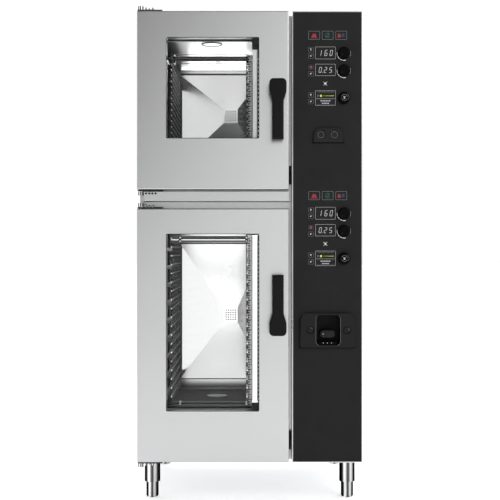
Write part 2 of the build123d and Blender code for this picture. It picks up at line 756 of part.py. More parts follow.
def control_fascia():
    """One black sheet for both ovens' controls."""
    with BuildPart() as fascia:
        inset = TRIM + TRIM_GAP
        block(grown(COLUMN_X, -inset), FASCIA_Y, (BASE_Z + inset, COLUMN_TOP - inset))
        cut_y = grown(FASCIA_Y, 2)
        for deck in DECKS:
            for x, z in DISPLAYS:
                block(x, cut_y, (deck.controls_z + z[0], deck.controls_z + z[1]), mode=Mode.SUBTRACT)
            for drop in KNOB_DROPS.values():
                bar((KNOB_X, cut_y[0], deck.controls_z - drop), (0, 1, 0), 10, KNOB_SHAFT_R + 1.5,
                    mode=Mode.SUBTRACT)
        clear = POCKET_WALL + 0.5
        prism(grown(POCKET_X, clear), grown(POCKET_Z, clear), cut_y, POCKET_CORNER + clear, Mode.SUBTRACT)
    save(fascia.part, "control_fascia")


def displays():
    """Three panes for each oven, flush in the fascia."""
    with BuildPart() as panes:
        for deck in DECKS:
            for x, z in DISPLAYS:
                limits = (deck.controls_z + z[0], deck.controls_z + z[1])
                block(grown(x, -0.2), (FASCIA_Y[0] - 0.3, FASCIA_Y[1]), grown(limits, -0.2))
    save(panes.part, "displays")


def touch_keys():
    """Flat touch keys, which do not travel."""
    with BuildPart() as keys:
        for deck in DECKS:
            centres = [(x, deck.controls_z, MODE_KEY) for x in MODE_KEYS_X]
            centres += [(SMALL_KEY_X, deck.controls_z - drop, SMALL_KEY) for drop in SMALL_KEY_DROPS]
            centres.append((STAR_KEY[0], deck.controls_z - STAR_KEY[1], SMALL_KEY))
            for x, z, size in centres:
                prism((x - size[0] / 2, x + size[0] / 2), (z - size[1] / 2, z + size[1] / 2),
                      (FASCIA_Y[0] - 0.8, FASCIA_Y[0]), 3)
    save(keys.part, "touch_keys")


def knob(deck, role):
    """A turned knob with a skirt, a grip and a short shaft."""
    z = deck.controls_z - KNOB_DROPS[role]
    with BuildPart() as turned:
        bar((KNOB_X, KNOB_BACK, z), (0, -1, 0), 6, KNOB_R)
        bar((KNOB_X, KNOB_BACK - 5, z), (0, -1, 0), KNOB_BACK - 5 - KNOB_FRONT, KNOB_R - 2.5)
        front = turned.faces().sort_by(Axis.Y)[0]
        fillet(front.edges(), 3)
        if role == "scroll":
            bar((KNOB_X, KNOB_BACK + 1, z), (0, -1, 0), 10, KNOB_SHAFT_R + FIT, mode=Mode.SUBTRACT)
        else:
            bar((KNOB_X, KNOB_BACK - 1, z), (0, 1, 0), 18, KNOB_SHAFT_R)
    save(turned.part, f"{deck.name}_{role}_knob")


def scroll_spindle(deck):
    """The push spindle that the scroll knob turns on."""
    z = deck.controls_z - KNOB_DROPS["scroll"]
    with BuildPart() as spindle:
        bar((KNOB_X, KNOB_BACK - 8, z), (0, 1, 0), 25, KNOB_SHAFT_R)
    save(spindle.part, f"{deck.name}_scroll_spindle")


def arched_boss(x, z, front, back, top_r, bottom_r):
    """A boss on the fascia with broad rounded top corners and a level foot."""
    with BuildSketch(Plane.XZ.offset(-back), mode=Mode.PRIVATE) as outline:
        with Locations(((x[0] + x[1]) / 2, (z[0] + z[1]) / 2)):
            Rectangle(x[1] - x[0], z[1] - z[0])
        rows = outline.vertices().group_by(Axis.Y)
        fillet(rows[0], bottom_r)
        fillet(outline.vertices().group_by(Axis.Y)[-1], top_r)
    return extrude(outline.sketch, amount=back - front)


def well(x, z, front, hole, cap):
    """A round well in a boss's front with a lower disc in it, each as (depth, radius)."""
    bar((x, front - 1, z), (0, 1, 0), hole[0] + 1, hole[1], mode=Mode.SUBTRACT)
    bar((x, front + hole[0] + 1, z), (0, -1, 0), cap[0] + 1, cap[1])


def probe_sockets():
    """The housing of two capped sockets for core probes."""
    with BuildPart() as housing:
        arched_boss(PROBE_X, PROBE_Z, PROBE_FRONT, FASCIA_Y[0], PROBE_CORNER, 3)
        fillet(housing.faces().sort_by(Axis.Y)[0].edges(), HOUSING_ROUND)
        for x in PLUGS_X:
            well(x, PLUG_Z, PROBE_FRONT, PLUG_WELL, PLUG_CAP)
    save(housing.part, "probe_sockets")


def shower_pocket():
    """The hand shower's housing: a broad boss with a pocket through the fascia."""
    with BuildPart() as pocket:
        arched_boss(SHOWER_X, SHOWER_Z, SHOWER_FRONT, FASCIA_Y[0], SHOWER_CORNER, 4)
        fillet(pocket.faces().sort_by(Axis.Y)[0].edges(), HOUSING_ROUND)
        for x in FINGER_X:
            well(x, FINGER_Z, SHOWER_FRONT, FINGER_WELL, FINGER_CAP)
        sleeve_y = (SHOWER_FRONT + 3, POCKET_BACK)
        prism(grown(POCKET_X, POCKET_WALL), grown(POCKET_Z, POCKET_WALL), sleeve_y,
              POCKET_CORNER + POCKET_WALL)
        hollow_y = (SHOWER_FRONT - 5, POCKET_BACK - POCKET_WALL)
        prism(POCKET_X, POCKET_Z, hollow_y, POCKET_CORNER, Mode.SUBTRACT)
    save(pocket.part, "shower_pocket")


def hand_shower():
    """The blunt end of the hand shower, which draws out of its pocket."""
    with BuildPart() as shower:
        prism(NOSE_X, NOSE_Z, NOSE_Y, NOSE_CORNER)
        fillet(shower.faces().sort_by(Axis.Y)[0].edges(), 5)
    save(shower.part, "hand_shower")


def control_boards():
    """A circuit board behind each oven's controls."""
    with BuildPart() as boards:
        for deck in DECKS:
            z = deck.controls_z
            block(BOARD_X, BOARD_Y, (z + BOARD_Z[0], z + BOARD_Z[1]))
            half = ENCODER[0] / 2
            for drop in KNOB_DROPS.values():
                block((KNOB_X - half, KNOB_X + half), (BOARD_Y[0] - ENCODER[1], BOARD_Y[0]),
                      (z - drop - half, z - drop + half))
    save(boards.part, "control_boards")


# ---- feet ----

def foot_sleeves():
    """Four round legs under the base."""
    with BuildPart() as sleeves:
        for x in (-FOOT_X, FOOT_X):
            for y in FOOT_Y:
                bar((x, y, SLEEVE_Z), (0, 0, 1), BASE_Z - SLEEVE_Z, SLEEVE_R)
                bore = BASE_Z - SLEEVE_Z - 4
                bar((x, y, SLEEVE_Z - 1), (0, 0, 1), bore, STEM_R + FIT, mode=Mode.SUBTRACT)
    save(sleeves.part, "foot_sleeves")


def foot_adjuster(x, y, node):
    """A screwed foot: a rounded cup below and its stem inside the leg."""
    with BuildPart() as foot:
        bar((x, y, 0), (0, 0, 1), SLEEVE_Z - FIT, FOOT_R)
        fillet(foot.faces().sort_by(Axis.Z)[0].edges(), FOOT_ROUND)
        bar((x, y, SLEEVE_Z - FIT - 1), (0, 0, 1), STEM_LENGTH, STEM_R)
    save(foot.part, node)


base_frame()
left, right = BODY_X
side_panel("left_side_panel", (left, left + SHEET), (left + SHEET, left + SHEET + PANEL_FLANGE))
side_panel("right_side_panel", (right - SHEET, right), (right - SHEET - PANEL_FLANGE, right - SHEET))
rear_panel()
roof_panel()
front_frames()
insulation()
door_gaskets()
drip_channel()
door_switches()
fan_baffles()
heating_elements()
fan_motors()
spray_nozzles()
drain_covers()
exhaust_stacks()
water_inlets()
drain_outlet()
cable_gland()
steam_generators()
hinge_brackets()
control_column()
control_fascia()
displays()
touch_keys()
probe_sockets()
shower_pocket()
hand_shower()
control_boards()
foot_sleeves()
for oven in DECKS:
    cavity(oven)
    racks(oven)
    fan_wheel(oven)
    door_skin(oven)
    door_liner(oven)
    glass_panes(oven)
    light_bar(oven)
    handle(oven)
    latch(oven)
    for use in KNOB_DROPS:
        knob(oven, use)
    scroll_spindle(oven)
for foot_name, foot_x in (("left", -FOOT_X), ("right", FOOT_X)):
    for end_name, foot_y in (("front", FOOT_Y[0]), ("rear", FOOT_Y[1])):
        foot_adjuster(foot_x, foot_y, f"{end_name}_{foot_name}_foot")
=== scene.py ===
import math

import bmesh
import bpy
from mathutils import Matrix, Vector


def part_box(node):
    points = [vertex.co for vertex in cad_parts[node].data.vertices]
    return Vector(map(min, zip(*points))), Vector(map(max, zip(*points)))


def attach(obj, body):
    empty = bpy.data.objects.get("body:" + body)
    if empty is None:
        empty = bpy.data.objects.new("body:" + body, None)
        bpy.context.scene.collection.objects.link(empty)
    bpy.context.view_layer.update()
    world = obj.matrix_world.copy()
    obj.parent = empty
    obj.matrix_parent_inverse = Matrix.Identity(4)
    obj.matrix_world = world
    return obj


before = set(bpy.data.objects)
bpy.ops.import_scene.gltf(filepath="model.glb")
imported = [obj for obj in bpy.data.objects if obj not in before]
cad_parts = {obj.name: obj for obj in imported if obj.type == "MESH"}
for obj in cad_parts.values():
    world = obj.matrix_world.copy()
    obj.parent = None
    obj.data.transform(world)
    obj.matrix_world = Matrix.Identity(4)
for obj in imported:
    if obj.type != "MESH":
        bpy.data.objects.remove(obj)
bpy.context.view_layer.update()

MM = 0.001
DECKS = ("upper", "lower")


# ---- shader node helpers ----

def axis_sockets(tree, output="Object"):
    """The X, Y and Z sockets of a texture coordinate."""
    coords = tree.nodes.new("ShaderNodeTexCoord")
    split = tree.nodes.new("ShaderNodeSeparateXYZ")
    tree.links.new(coords.outputs[output], split.inputs[0])
    return split.outputs


def map_range(tree, value, start, end, low=0.0, high=1.0, smooth=False):
    """Carry a value from one range to another."""
    node = tree.nodes.new("ShaderNodeMapRange")
    if smooth:
        node.interpolation_type = "SMOOTHSTEP"
    for name, number in (("From Min", start), ("From Max", end), ("To Min", low), ("To Max", high)):
        node.inputs[name].default_value = number
    tree.links.new(value, node.inputs["Value"])
    return node.outputs["Result"]


def colour_ramp(tree, value, stops):
    """A colour that follows a value through (position, colour) stops."""
    node = tree.nodes.new("ShaderNodeValToRGB")
    elements = node.color_ramp.elements
    while len(elements) < len(stops):
        elements.new(0.5)
    for element, (at, colour) in zip(elements, stops):
        element.position = at
        element.color = (*colour, 1)
    tree.links.new(value, node.inputs["Fac"])
    return node.outputs["Color"]


def mix_colours(tree, factor, first, second):
    """A colour between two others."""
    node = tree.nodes.new("ShaderNodeMix")
    node.data_type = "RGBA"
    node.inputs["A"].default_value = (*first, 1)
    node.inputs["B"].default_value = (*second, 1)
    tree.links.new(factor, node.inputs["Factor"])
    return node.outputs["Result"]


def math_node(tree, operation, *values):
    """Reckon with values that are sockets or plain numbers."""
    node = tree.nodes.new("ShaderNodeMath")
    node.operation = operation
    for socket, value in zip(node.inputs, values):
        if isinstance(value, (int, float)):
            socket.default_value = value
        else:
            tree.links.new(value, socket)
    return node.outputs[0]


# ---- camera, backdrop and light ----

EYE_DISTANCE = 4.0
EYE_HEIGHT = 0.9523
EYE_ASIDE = 0.001
SENSOR = 36.0
LENS = 76.35


def make_camera():
    """A level camera four metres before the doors."""
    data = bpy.data.cameras.new("camera")
    data.sensor_width = SENSOR
    data.lens = LENS
    camera = bpy.data.objects.new("camera", data)
    door_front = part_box("upper_door_skin")[0][1]
    camera.location = (EYE_ASIDE, door_front - EYE_DISTANCE, EYE_HEIGHT)
    camera.rotation_euler = (math.pi / 2, 0, 0)
    bpy.context.collection.objects.link(camera)
    bpy.context.scene.camera = camera


# Place and brightness of the room before the oven, along a slope that rises upwards and to the left
ROOM = ((-1.0, 0.82), (-0.35, 1.10), (-0.13, 1.42), (-0.03, 1.48), (0.10, 1.26), (0.26, 0.76),
        (0.44, 0.28), (0.62, 0.06), (1.2, 0.03), (2.0, 0.07))
ROOM_PEAK = 1.5
ROOM_SIDEWAYS = -2.0

# How far back a direction points where the white walls behind begin, and how bright they are
WALL_EDGE = (-0.25, 0.15)
WALL_LEVEL = 1.02


def make_world():
    """White studio walls behind; before the oven the room darkens upwards and to the left."""
    world = bpy.data.worlds.new("studio")
    bpy.context.scene.world = world
    world.use_nodes = True
    tree = world.node_tree
    tree.nodes.clear()
    axes = axis_sockets(tree, "Generated")
    slope = math_node(tree, "MULTIPLY_ADD", axes["X"], ROOM_SIDEWAYS, axes["Z"])
    first, last = ROOM[0][0], ROOM[-1][0]
    place = map_range(tree, slope, first, last)
    greys = [((at - first) / (last - first), [value / ROOM_PEAK] * 3) for at, value in ROOM]
    level = math_node(tree, "MULTIPLY", colour_ramp(tree, place, greys), ROOM_PEAK)
    behind = map_range(tree, axes["Y"], *WALL_EDGE, smooth=True)

    mix = tree.nodes.new("ShaderNodeMix")
    mix.inputs[3].default_value = WALL_LEVEL
    tree.links.new(behind, mix.inputs[0])
    tree.links.new(level, mix.inputs[2])
    background = tree.nodes.new("ShaderNodeBackground")
    background.inputs["Color"].default_value = (1, 1, 1, 1)
    tree.links.new(mix.outputs[0], background.inputs["Strength"])
    output = tree.nodes.new("ShaderNodeOutputWorld")
    tree.links.new(background.outputs[0], output.inputs["Surface"])
    bpy.context.scene.view_settings.view_transform = "Standard"


def area_light(name, place, aim, size, power):
    """A rectangular lamp at a place, facing a point."""
    data = bpy.data.lights.new(name, "AREA")
    data.shape = "RECTANGLE"
    data.size, data.size_y = size
    data.energy = power
    lamp = bpy.data.objects.new(name, data)
    lamp.location = place
    lamp.rotation_mode = "QUATERNION"
    lamp.rotation_quaternion = (Vector(aim) - Vector(place)).to_track_quat("-Z", "Y")
    bpy.context.collection.objects.link(lamp)
    return lamp


# Studio lamps: place, aim, size and power
STUDIO_LAMPS = {
    "key_light": ((2.2, -3.0, 2.6), (0, 0, 0.9), (1.6, 1.6), 30),
    "fill_light": ((-2.6, -2.2, 1.8), (0, 0, 0.9), (1.4, 2.0), 12),
    "back_light": ((0.2, 2.4, 2.6), (0, 0.6, 0), (3.0, 1.6), 80),
}

# How bright each sheet of light in a cavity looks from the polished hood before the fan
CAVITY_LIGHT = {
    "upper": {"left": 1.15, "top": 0.95, "back": 1.9, "rear": 2.2, "brow": 2.6, "side": 1.3},
    "lower": {"left": 1.55, "right": 0.62, "top": 1.15, "front": 2.0, "low": 1.3, "side": 0.45},
}
MOUTH_GAP = 12 * MM
RACK_GAP = 9 * MM
LEFT_SHEET_RISE = {"upper": 30 * MM, "lower": 85 * MM}
LEFT_SHEET_DROP = 100 * MM


def cavity_sheets(deck, hood):
    """Place, facing and size of each sheet of light in a cavity."""
    low, high = (Vector(end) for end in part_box(f"{deck}_cavity"))
    middle, width, height = (low + high) / 2, high.x - low.x, high.z - low.z
    ceiling_width, band_width = width - 120 * MM, width - 100 * MM
    left_rack, right_rack = rack_faces(deck)
    start, end = low.y + MOUTH_GAP, hood[1].y
    y, depth = (start + end) / 2, end - start
    left_low, left_top = low.z + LEFT_SHEET_RISE[deck], high.z - LEFT_SHEET_DROP
    return {
        "left": ((left_rack + RACK_GAP, y, (left_low + left_top) / 2), (1, 0, 0),
                 (depth, left_top - left_low)),
        "right": ((high.x - 85 * MM, y, middle.z), (-1, 0, 0), (depth, height * 0.96)),
        "top": ((middle.x, y, high.z - 4 * MM), (0, 0, -1), (ceiling_width, depth)),
        "low": ((middle.x, y, low.z + 8 * MM), (0, 0, 1), (ceiling_width, depth)),
        "back": ((middle.x + 20 * MM, hood[0].y - 8 * MM, high.z - 75 * MM), (0, -1, 0),
                 (width - 140 * MM, 140 * MM)),
        "front": ((middle.x, start, middle.z), (0, 1, 0), (band_width, height - 50 * MM)),
        "rear": ((middle.x, high.y - 6 * MM, high.z - 18 * MM), (0, -1, 0), (band_width, 30 * MM)),
        "brow": ((middle.x, start, high.z - 55 * MM), (0, 1, 0), (band_width, 110 * MM)),
        "side": ((right_rack - RACK_GAP, low.y + 160 * MM, middle.z), (-1, 0, 0),
                 (280 * MM, height * 0.9)),
    }


def make_lights():
    """Soft studio lamps, and sheets of light inside each cavity."""
    for name, settings in STUDIO_LAMPS.items():
        area_light(name, *settings)
    hoods = dict(zip(("lower", "upper"), solids_of("fan_baffles")))
    for deck, levels in CAVITY_LIGHT.items():
        sheets = cavity_sheets(deck, hoods[deck])
        for side, level in levels.items():
            place, facing, size = sheets[side]
            lamp = area_light(f"{deck}_{side}_light", place, Vector(place) + Vector(facing),
                              size, level * 4 * size[0] * size[1])
            lamp.visible_camera = False


FLOOR_HALF_WIDTH = 60.0
FLOOR_GLOW = 0.46


def make_floor():
    """A plain pale floor."""
    bm = bmesh.new()
    bmesh.ops.create_grid(bm, x_segments=8, y_segments=8, size=FLOOR_HALF_WIDTH)
    mesh = bpy.data.meshes.new("floor")
    bm.to_mesh(mesh)
    floor = bpy.data.objects.new("floor", mesh)
    bpy.context.collection.objects.link(floor)
    paint = bpy.data.materials.new("floor_paint")
    paint.use_nodes = True
    shader = paint.node_tree.nodes["Principled BSDF"]
    shader.inputs["Base Color"].default_value = (0.93, 0.93, 0.93, 1)
    shader.inputs["Roughness"].default_value = 0.85
    shader.inputs["Emission Color"].default_value = (1, 1, 1, 1)
    shader.inputs["Emission Strength"].default_value = FLOOR_GLOW
    mesh.materials.append(paint)


# ---- materials ----

# Most of a noise lies between these values
NOISE_SPAN = (0.3, 0.7)
GRAIN_DEPTH = 0.4 * MM
LEATHER_DEPTH = 0.2 * MM
PANEL_BLACK = (0.0115, 0.0115, 0.0118)
# Painted shade deep inside the shower's pocket
POCKET_PAINTED_SHADE = (0.0008, 0.0008, 0.0008)


def new_material(name, base, roughness, metallic=0.0, specular=0.5):
    """A Principled material; returns it with its node tree and shader."""
    material = bpy.data.materials.new(name)
    material.use_nodes = True
    tree = material.node_tree
    shader = tree.nodes["Principled BSDF"]
    shader.inputs["Base Color"].default_value = (*base, 1)
    shader.inputs["Roughness"].default_value = roughness
    shader.inputs["Metallic"].default_value = metallic
    shader.inputs["Specular IOR Level"].default_value = specular
    return material, tree, shader


def noise_value(tree, scale, stretch=(1, 1, 1), detail=4.0):
    """Noise on object coordinates, stretched along the axes."""
    coords = tree.nodes.new("ShaderNodeTexCoord")
    mapping = tree.nodes.new("ShaderNodeMapping")
    mapping.inputs["Scale"].default_value = stretch
    noise = tree.nodes.new("ShaderNodeTexNoise")
    noise.inputs["Scale"].default_value = scale
    noise.inputs["Detail"].default_value = detail
    tree.links.new(coords.outputs["Object"], mapping.inputs["Vector"])
    tree.links.new(mapping.outputs["Vector"], noise.inputs["Vector"])
    return noise.outputs["Fac"]


def ramp_to(tree, value, low, high, socket):
    """Drive a number from a noise between a low and a high setting."""
    tree.links.new(map_range(tree, value, *NOISE_SPAN, low, high), socket)


def tint(tree, value, dark, light, socket):
    """Drive a colour from a noise between a dark and a light shade."""
    tree.links.new(colour_ramp(tree, value, list(zip(NOISE_SPAN, (dark, light)))), socket)


def bump(tree, value, shader, strength, distance):
    """Raise the surface a little where a value is high."""
    node = tree.nodes.new("ShaderNodeBump")
    node.inputs["Strength"].default_value = strength
    node.inputs["Distance"].default_value = distance
    tree.links.new(value, node.inputs["Height"])
    tree.links.new(node.outputs["Normal"], shader.inputs["Normal"])


def shades(base, spread):
    """A darker and a lighter shade of a colour."""
    return [c * (1 - spread) for c in base], [min(1.0, c * (1 + spread)) for c in base]


def steel(name, base, roughness, stretch=(6, 6, 420), spread=0.04, rough_spread=0.05, strength=0.05):
    """Steel with a fine grain; stretch is high across the grain."""
    material, tree, shader = new_material(name, base, roughness, metallic=1.0)
    grain = noise_value(tree, 3.0, stretch)
    wear = noise_value(tree, 5.0, detail=6.0)
    dark, light = shades(base, spread)
    tint(tree, grain, dark, light, shader.inputs["Base Color"])
    ramp_to(tree, wear, roughness - rough_spread, roughness + rough_spread, shader.inputs["Roughness"])
    bump(tree, grain, shader, strength, GRAIN_DEPTH)
    return material


def cavity_steel(name, walls):
    """Cavity sheet, with painted shade darkening it towards its floor and its side walls."""
    material, tree, shader = new_material(name, (0.62, 0.62, 0.62), 0.30, metallic=1.0)
    low, high = walls
    axes = axis_sockets(tree)
    # Painted shade: the sheet darkens towards the floor and towards the left and right walls
    painted_shade = 1.0
    for axis, start, end, dark in (("Z", low[2], low[2] + 50 * MM, 0.10),
                                   ("X", low[0] + 10 * MM, low[0] + 100 * MM, 0.03),
                                   ("X", high[0], high[0] - 50 * MM, 0.25)):
        painted_shade = math_node(tree, "MULTIPLY", painted_shade, map_range(tree, axes[axis], start, end, dark, smooth=True))
    colour = mix_colours(tree, painted_shade, (0, 0, 0), (0.66, 0.66, 0.66))
    tree.links.new(colour, shader.inputs["Base Color"])
    ramp_to(tree, noise_value(tree, 6.0, detail=6.0), 0.26, 0.34, shader.inputs["Roughness"])
    return material


# Painted reflection: grey of a chromed post from its left side round to its right, the studio's dark and
# light bands
PAINTED_REFLECTION_BANDS = ((0.0, 0.02), (0.12, 0.0), (0.20, 0.08), (0.26, 0.95), (0.34, 0.95), (0.42, 0.30),
                (0.50, 0.03), (0.58, 0.10), (0.66, 0.60), (0.76, 0.50), (0.84, 0.03), (1.0, 0.0))


def chrome(name):
    """Polished chrome with painted reflections: the long dark and light bands of a studio, painted into its
    colour by which way the surface faces.
    """
    material, tree, shader = new_material(name, (0.5, 0.5, 0.5), 0.16, metallic=1.0)
    shader.inputs["Specular Tint"].default_value = (0.1, 0.1, 0.1, 1)
    # Painted reflection: the grey follows how far the surface faces left or right
    place = map_range(tree, axis_sockets(tree, "Normal")["X"], -1.0, 1.0)
    painted_reflection = colour_ramp(tree, place, [(at, (value, value, value * 1.01)) for at, value in PAINTED_REFLECTION_BANDS])
    tree.links.new(painted_reflection, shader.inputs["Base Color"])
    ramp_to(tree, noise_value(tree, 3.0, (300, 300, 3)), 0.12, 0.20, shader.inputs["Roughness"])
    return material


def plastic(name, base, roughness, specular=0.4, grain=900.0, strength=0.12, spread=0.12):
    """Moulded plastic with a fine leathery grain and slight mottling."""
    material, tree, shader = new_material(name, base, roughness, specular=specular)
    fine = noise_value(tree, grain, detail=2.0)
    broad = noise_value(tree, 14.0)
    dark, light = shades(base, spread)
    tint(tree, broad, dark, light, shader.inputs["Base Color"])
    ramp_to(tree, broad, roughness - 0.04, roughness + 0.05, shader.inputs["Roughness"])
    bump(tree, fine, shader, strength, LEATHER_DEPTH)
    return material


def pocket_plastic():
    """The housing's plastic, with painted shade making it blacker inside the pocket than on its face."""
    material, tree, shader = new_material("pocket_painted_shade", PANEL_BLACK, 0.38, specular=0.12)
    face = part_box("shower_pocket")[0][1]
    # Painted shade: the deeper inside the pocket, the blacker
    depth = map_range(tree, axis_sockets(tree)["Y"], face + 2 * MM, face + 8 * MM)
    tree.links.new(mix_colours(tree, depth, PANEL_BLACK, POCKET_PAINTED_SHADE), shader.inputs["Base Color"])
    ramp_to(tree, noise_value(tree, 14.0), 0.34, 0.44, shader.inputs["Roughness"])
    bump(tree, noise_value(tree, 900.0, detail=2.0), shader, 0.12, LEATHER_DEPTH)
    return material


def glow(name, colour, strength, base=(0.6, 0.6, 0.6)):
    """A lit diffuser with a faint mottle."""
    material, tree, shader = new_material(name, base, 0.45)
    cloud = noise_value(tree, 30.0)
    dark, light = shades(colour, 0.03)
    tint(tree, cloud, dark, light, shader.inputs["Emission Color"])
    shader.inputs["Emission Strength"].default_value = strength
    return material


def window_glass():
    """Clear glass: mostly see-through, with a Fresnel gloss."""
    material = bpy.data.materials.new("clear_glass")
    material.use_nodes = True
    tree = material.node_tree
    tree.nodes.clear()
    clear = tree.nodes.new("ShaderNodeBsdfTransparent")
    clear.inputs["Color"].default_value = (0.96, 0.962, 0.961, 1)
    gloss = tree.nodes.new("ShaderNodeBsdfGlossy")
    smear = noise_value(tree, 6.0)
    ramp_to(tree, smear, 0.01, 0.05, gloss.inputs["Roughness"])
    fresnel = tree.nodes.new("ShaderNodeFresnel")
    fresnel.inputs["IOR"].default_value = 1.15
    mix = tree.nodes.new("ShaderNodeMixShader")
    tree.links.new(fresnel.outputs[0], mix.inputs[0])
    tree.links.new(clear.outputs[0], mix.inputs[1])
    tree.links.new(gloss.outputs[0], mix.inputs[2])
    output = tree.nodes.new("ShaderNodeOutputMaterial")
    tree.links.new(mix.outputs[0], output.inputs["Surface"])
    return material


STEEL = {
    "door": steel("door_steel", (0.545, 0.548, 0.552), 0.26, rough_spread=0.012),
    "panel": steel("panel_steel", (0.55, 0.553, 0.557), 0.34, rough_spread=0.02),
    # The casing steel is a darker copy of the door's steel: painted shade on the sides, back and roof
    "casing": steel("casing_steel_painted_shade", (0.40, 0.402, 0.405), 0.42, rough_spread=0.03),
    "trim": steel("trim_steel", (0.70, 0.70, 0.71), 0.30),
    "upper": cavity_steel("upper_cavity_steel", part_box("upper_cavity")),
    "lower": cavity_steel("lower_cavity_steel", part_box("lower_cavity")),
    "baffle": steel("baffle_steel", (0.52, 0.52, 0.52), 0.26, (40, 40, 40), 0.01, 0.02, 0.0),
    "rack": steel("rack_steel", (0.11, 0.11, 0.115), 0.22, (60, 60, 60), 0.06),
    "wire": steel("wire_steel", (0.03, 0.03, 0.032), 0.25, (60, 60, 60), 0.1),
    "inner": steel("rack_inner", (0.045, 0.045, 0.047), 0.25, (60, 60, 60), 0.1),
    "bright": steel("bright_wire", (0.75, 0.75, 0.75), 0.18, (60, 60, 60), 0.1),
    "hinge": steel("hinge_steel", (0.46, 0.46, 0.47), 0.20, (80, 80, 80)),
    "foot": chrome("foot_chrome"),
    "galvanised": steel("galvanised_steel", (0.46, 0.48, 0.50), 0.45, (9, 9, 9), 0.18),
    "machined": steel("machined_steel", (0.5, 0.5, 0.52), 0.3, (30, 400, 30)),
    "element": steel("element_steel", (0.16, 0.15, 0.15), 0.5, (60, 60, 60), 0.2),
    "brass": steel("brass", (0.72, 0.52, 0.24), 0.32, (60, 60, 60), 0.08),
}
PLASTIC = {
    "fascia": plastic("fascia_black", PANEL_BLACK, 0.5, 0.14, 1500, 0.05),
    "handle": plastic("handle_black", (0.0045, 0.0045, 0.0047), 0.42, 0.12),
    "knob": plastic("knob_black", (0.0012, 0.0012, 0.0013), 0.22, 0.05),
    "housing": plastic("housing_black", PANEL_BLACK, 0.36, 0.16),
    "key": plastic("key_black", (0.013, 0.013, 0.0134), 0.40, 0.12),
    "screen": plastic("screen_black", (0.004, 0.004, 0.0042), 0.12, 0.2, 200, 0.0),
    "pocket": pocket_plastic(),
    "rubber": plastic("seal_rubber", (0.022, 0.022, 0.024), 0.65, 0.3),
    "wool": plastic("mineral_wool", (0.55, 0.48, 0.26), 0.95, 0.1, 240, 0.9),
    "motor": plastic("motor_paint", (0.05, 0.07, 0.10), 0.4, 0.5),
    "pipe": plastic("grey_pipe", (0.18, 0.185, 0.19), 0.45),
    "tray": plastic("seasoned_tray", (0.030, 0.030, 0.031), 0.8, 0.0, 300, 0.05, 0.25),
    # A light coat that paints glints on the rack runners and the comb strips: painted highlight
    "glint_coat": plastic("painted_glint_wire", (0.74, 0.74, 0.745), 0.3, 0.6, 300, 0.05, 0.08),
    "board": plastic("board_green", (0.01, 0.10, 0.04), 0.35, 0.5, 500, 0.3, 0.3),
}
GLASS = window_glass()
LAMP_ON = glow("lamp_lit", (1.0, 1.0, 1.0), 1.3)
LAMP_OFF = plastic("lamp_unlit", (0.78, 0.78, 0.79), 0.4, 0.5, 60, 0.02, 0.04)


def both(name):
    """The names of a part of the upper oven and of the same part of the lower one."""
    return [f"upper_{name}", f"lower_{name}"]


NODE_MATERIALS = {
    STEEL["door"]: both("door_skin"),
    STEEL["casing"]: ["left_side_panel", "right_side_panel", "rear_panel", "roof_panel"],
    STEEL["panel"]: ["drip_channel", "front_frames", *both("door_liner")],
    STEEL["trim"]: ["control_column"],
    STEEL["upper"]: ["upper_cavity"],
    STEEL["lower"]: ["lower_cavity"],
    STEEL["baffle"]: ["fan_baffles"],
    STEEL["inner"]: both("racks"),
    STEEL["rack"]: both("fan_wheel"),
    STEEL["hinge"]: ["exhaust_stacks"],
    STEEL["wire"]: ["drain_covers"],
    STEEL["foot"]: ["hinge_brackets", "foot_sleeves", "front_left_foot", "front_right_foot",
                    "rear_left_foot", "rear_right_foot"],
    STEEL["galvanised"]: ["base_frame", "steam_generators"],
    STEEL["machined"]: ["spray_nozzles", *both("latch"), *both("scroll_spindle")],
    STEEL["element"]: ["heating_elements"],
    STEEL["brass"]: ["water_inlets"],
    PLASTIC["fascia"]: ["control_fascia"],
    PLASTIC["handle"]: ["door_switches", "cable_gland", *both("handle")],
    PLASTIC["knob"]: [*both("temperature_knob"), *both("time_knob"), *both("scroll_knob")],
    PLASTIC["housing"]: ["probe_sockets", "hand_shower"],
    PLASTIC["pocket"]: ["shower_pocket"],
    PLASTIC["key"]: ["touch_keys"],
    PLASTIC["screen"]: ["displays"],
    PLASTIC["rubber"]: ["door_gaskets"],
    PLASTIC["wool"]: ["insulation"],
    PLASTIC["motor"]: ["fan_motors"],
    PLASTIC["pipe"]: ["drain_outlet"],
    PLASTIC["board"]: ["control_boards"],
    GLASS: both("glass_panes"),
    LAMP_ON: ["lower_light_bar"],
    LAMP_OFF: ["upper_light_bar"],
}


def dress_nodes():
    """Give every CAD node its material."""
    for material, names in NODE_MATERIALS.items():
        for name in names:
            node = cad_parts[name]
            node.data.materials.clear()
            node.data.materials.append(material)


# ---- mesh helpers ----

def solids_of(node):
    """Boxes (low, high) of a node's separate solids, lowest first."""
    bm = bmesh.new()
    bm.from_mesh(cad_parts[node].data)
    bmesh.ops.remove_doubles(bm, verts=bm.verts, dist=1e-5)
    left = set(bm.verts)
    boxes = []
    while left:
        front = [left.pop()]
        found = []
        while front:
            vert = front.pop()
            found.append(vert.co.copy())
            for edge in vert.link_edges:
                other = edge.other_vert(vert)
                if other in left:
                    left.discard(other)
                    front.append(other)
        low = Vector(min(p[i] for p in found) for i in range(3))
        high = Vector(max(p[i] for p in found) for i in range(3))
        boxes.append((low, high))
    bm.free()
    return sorted(boxes, key=lambda b: (round(b[0].z, 3), round(b[0].x, 3)))


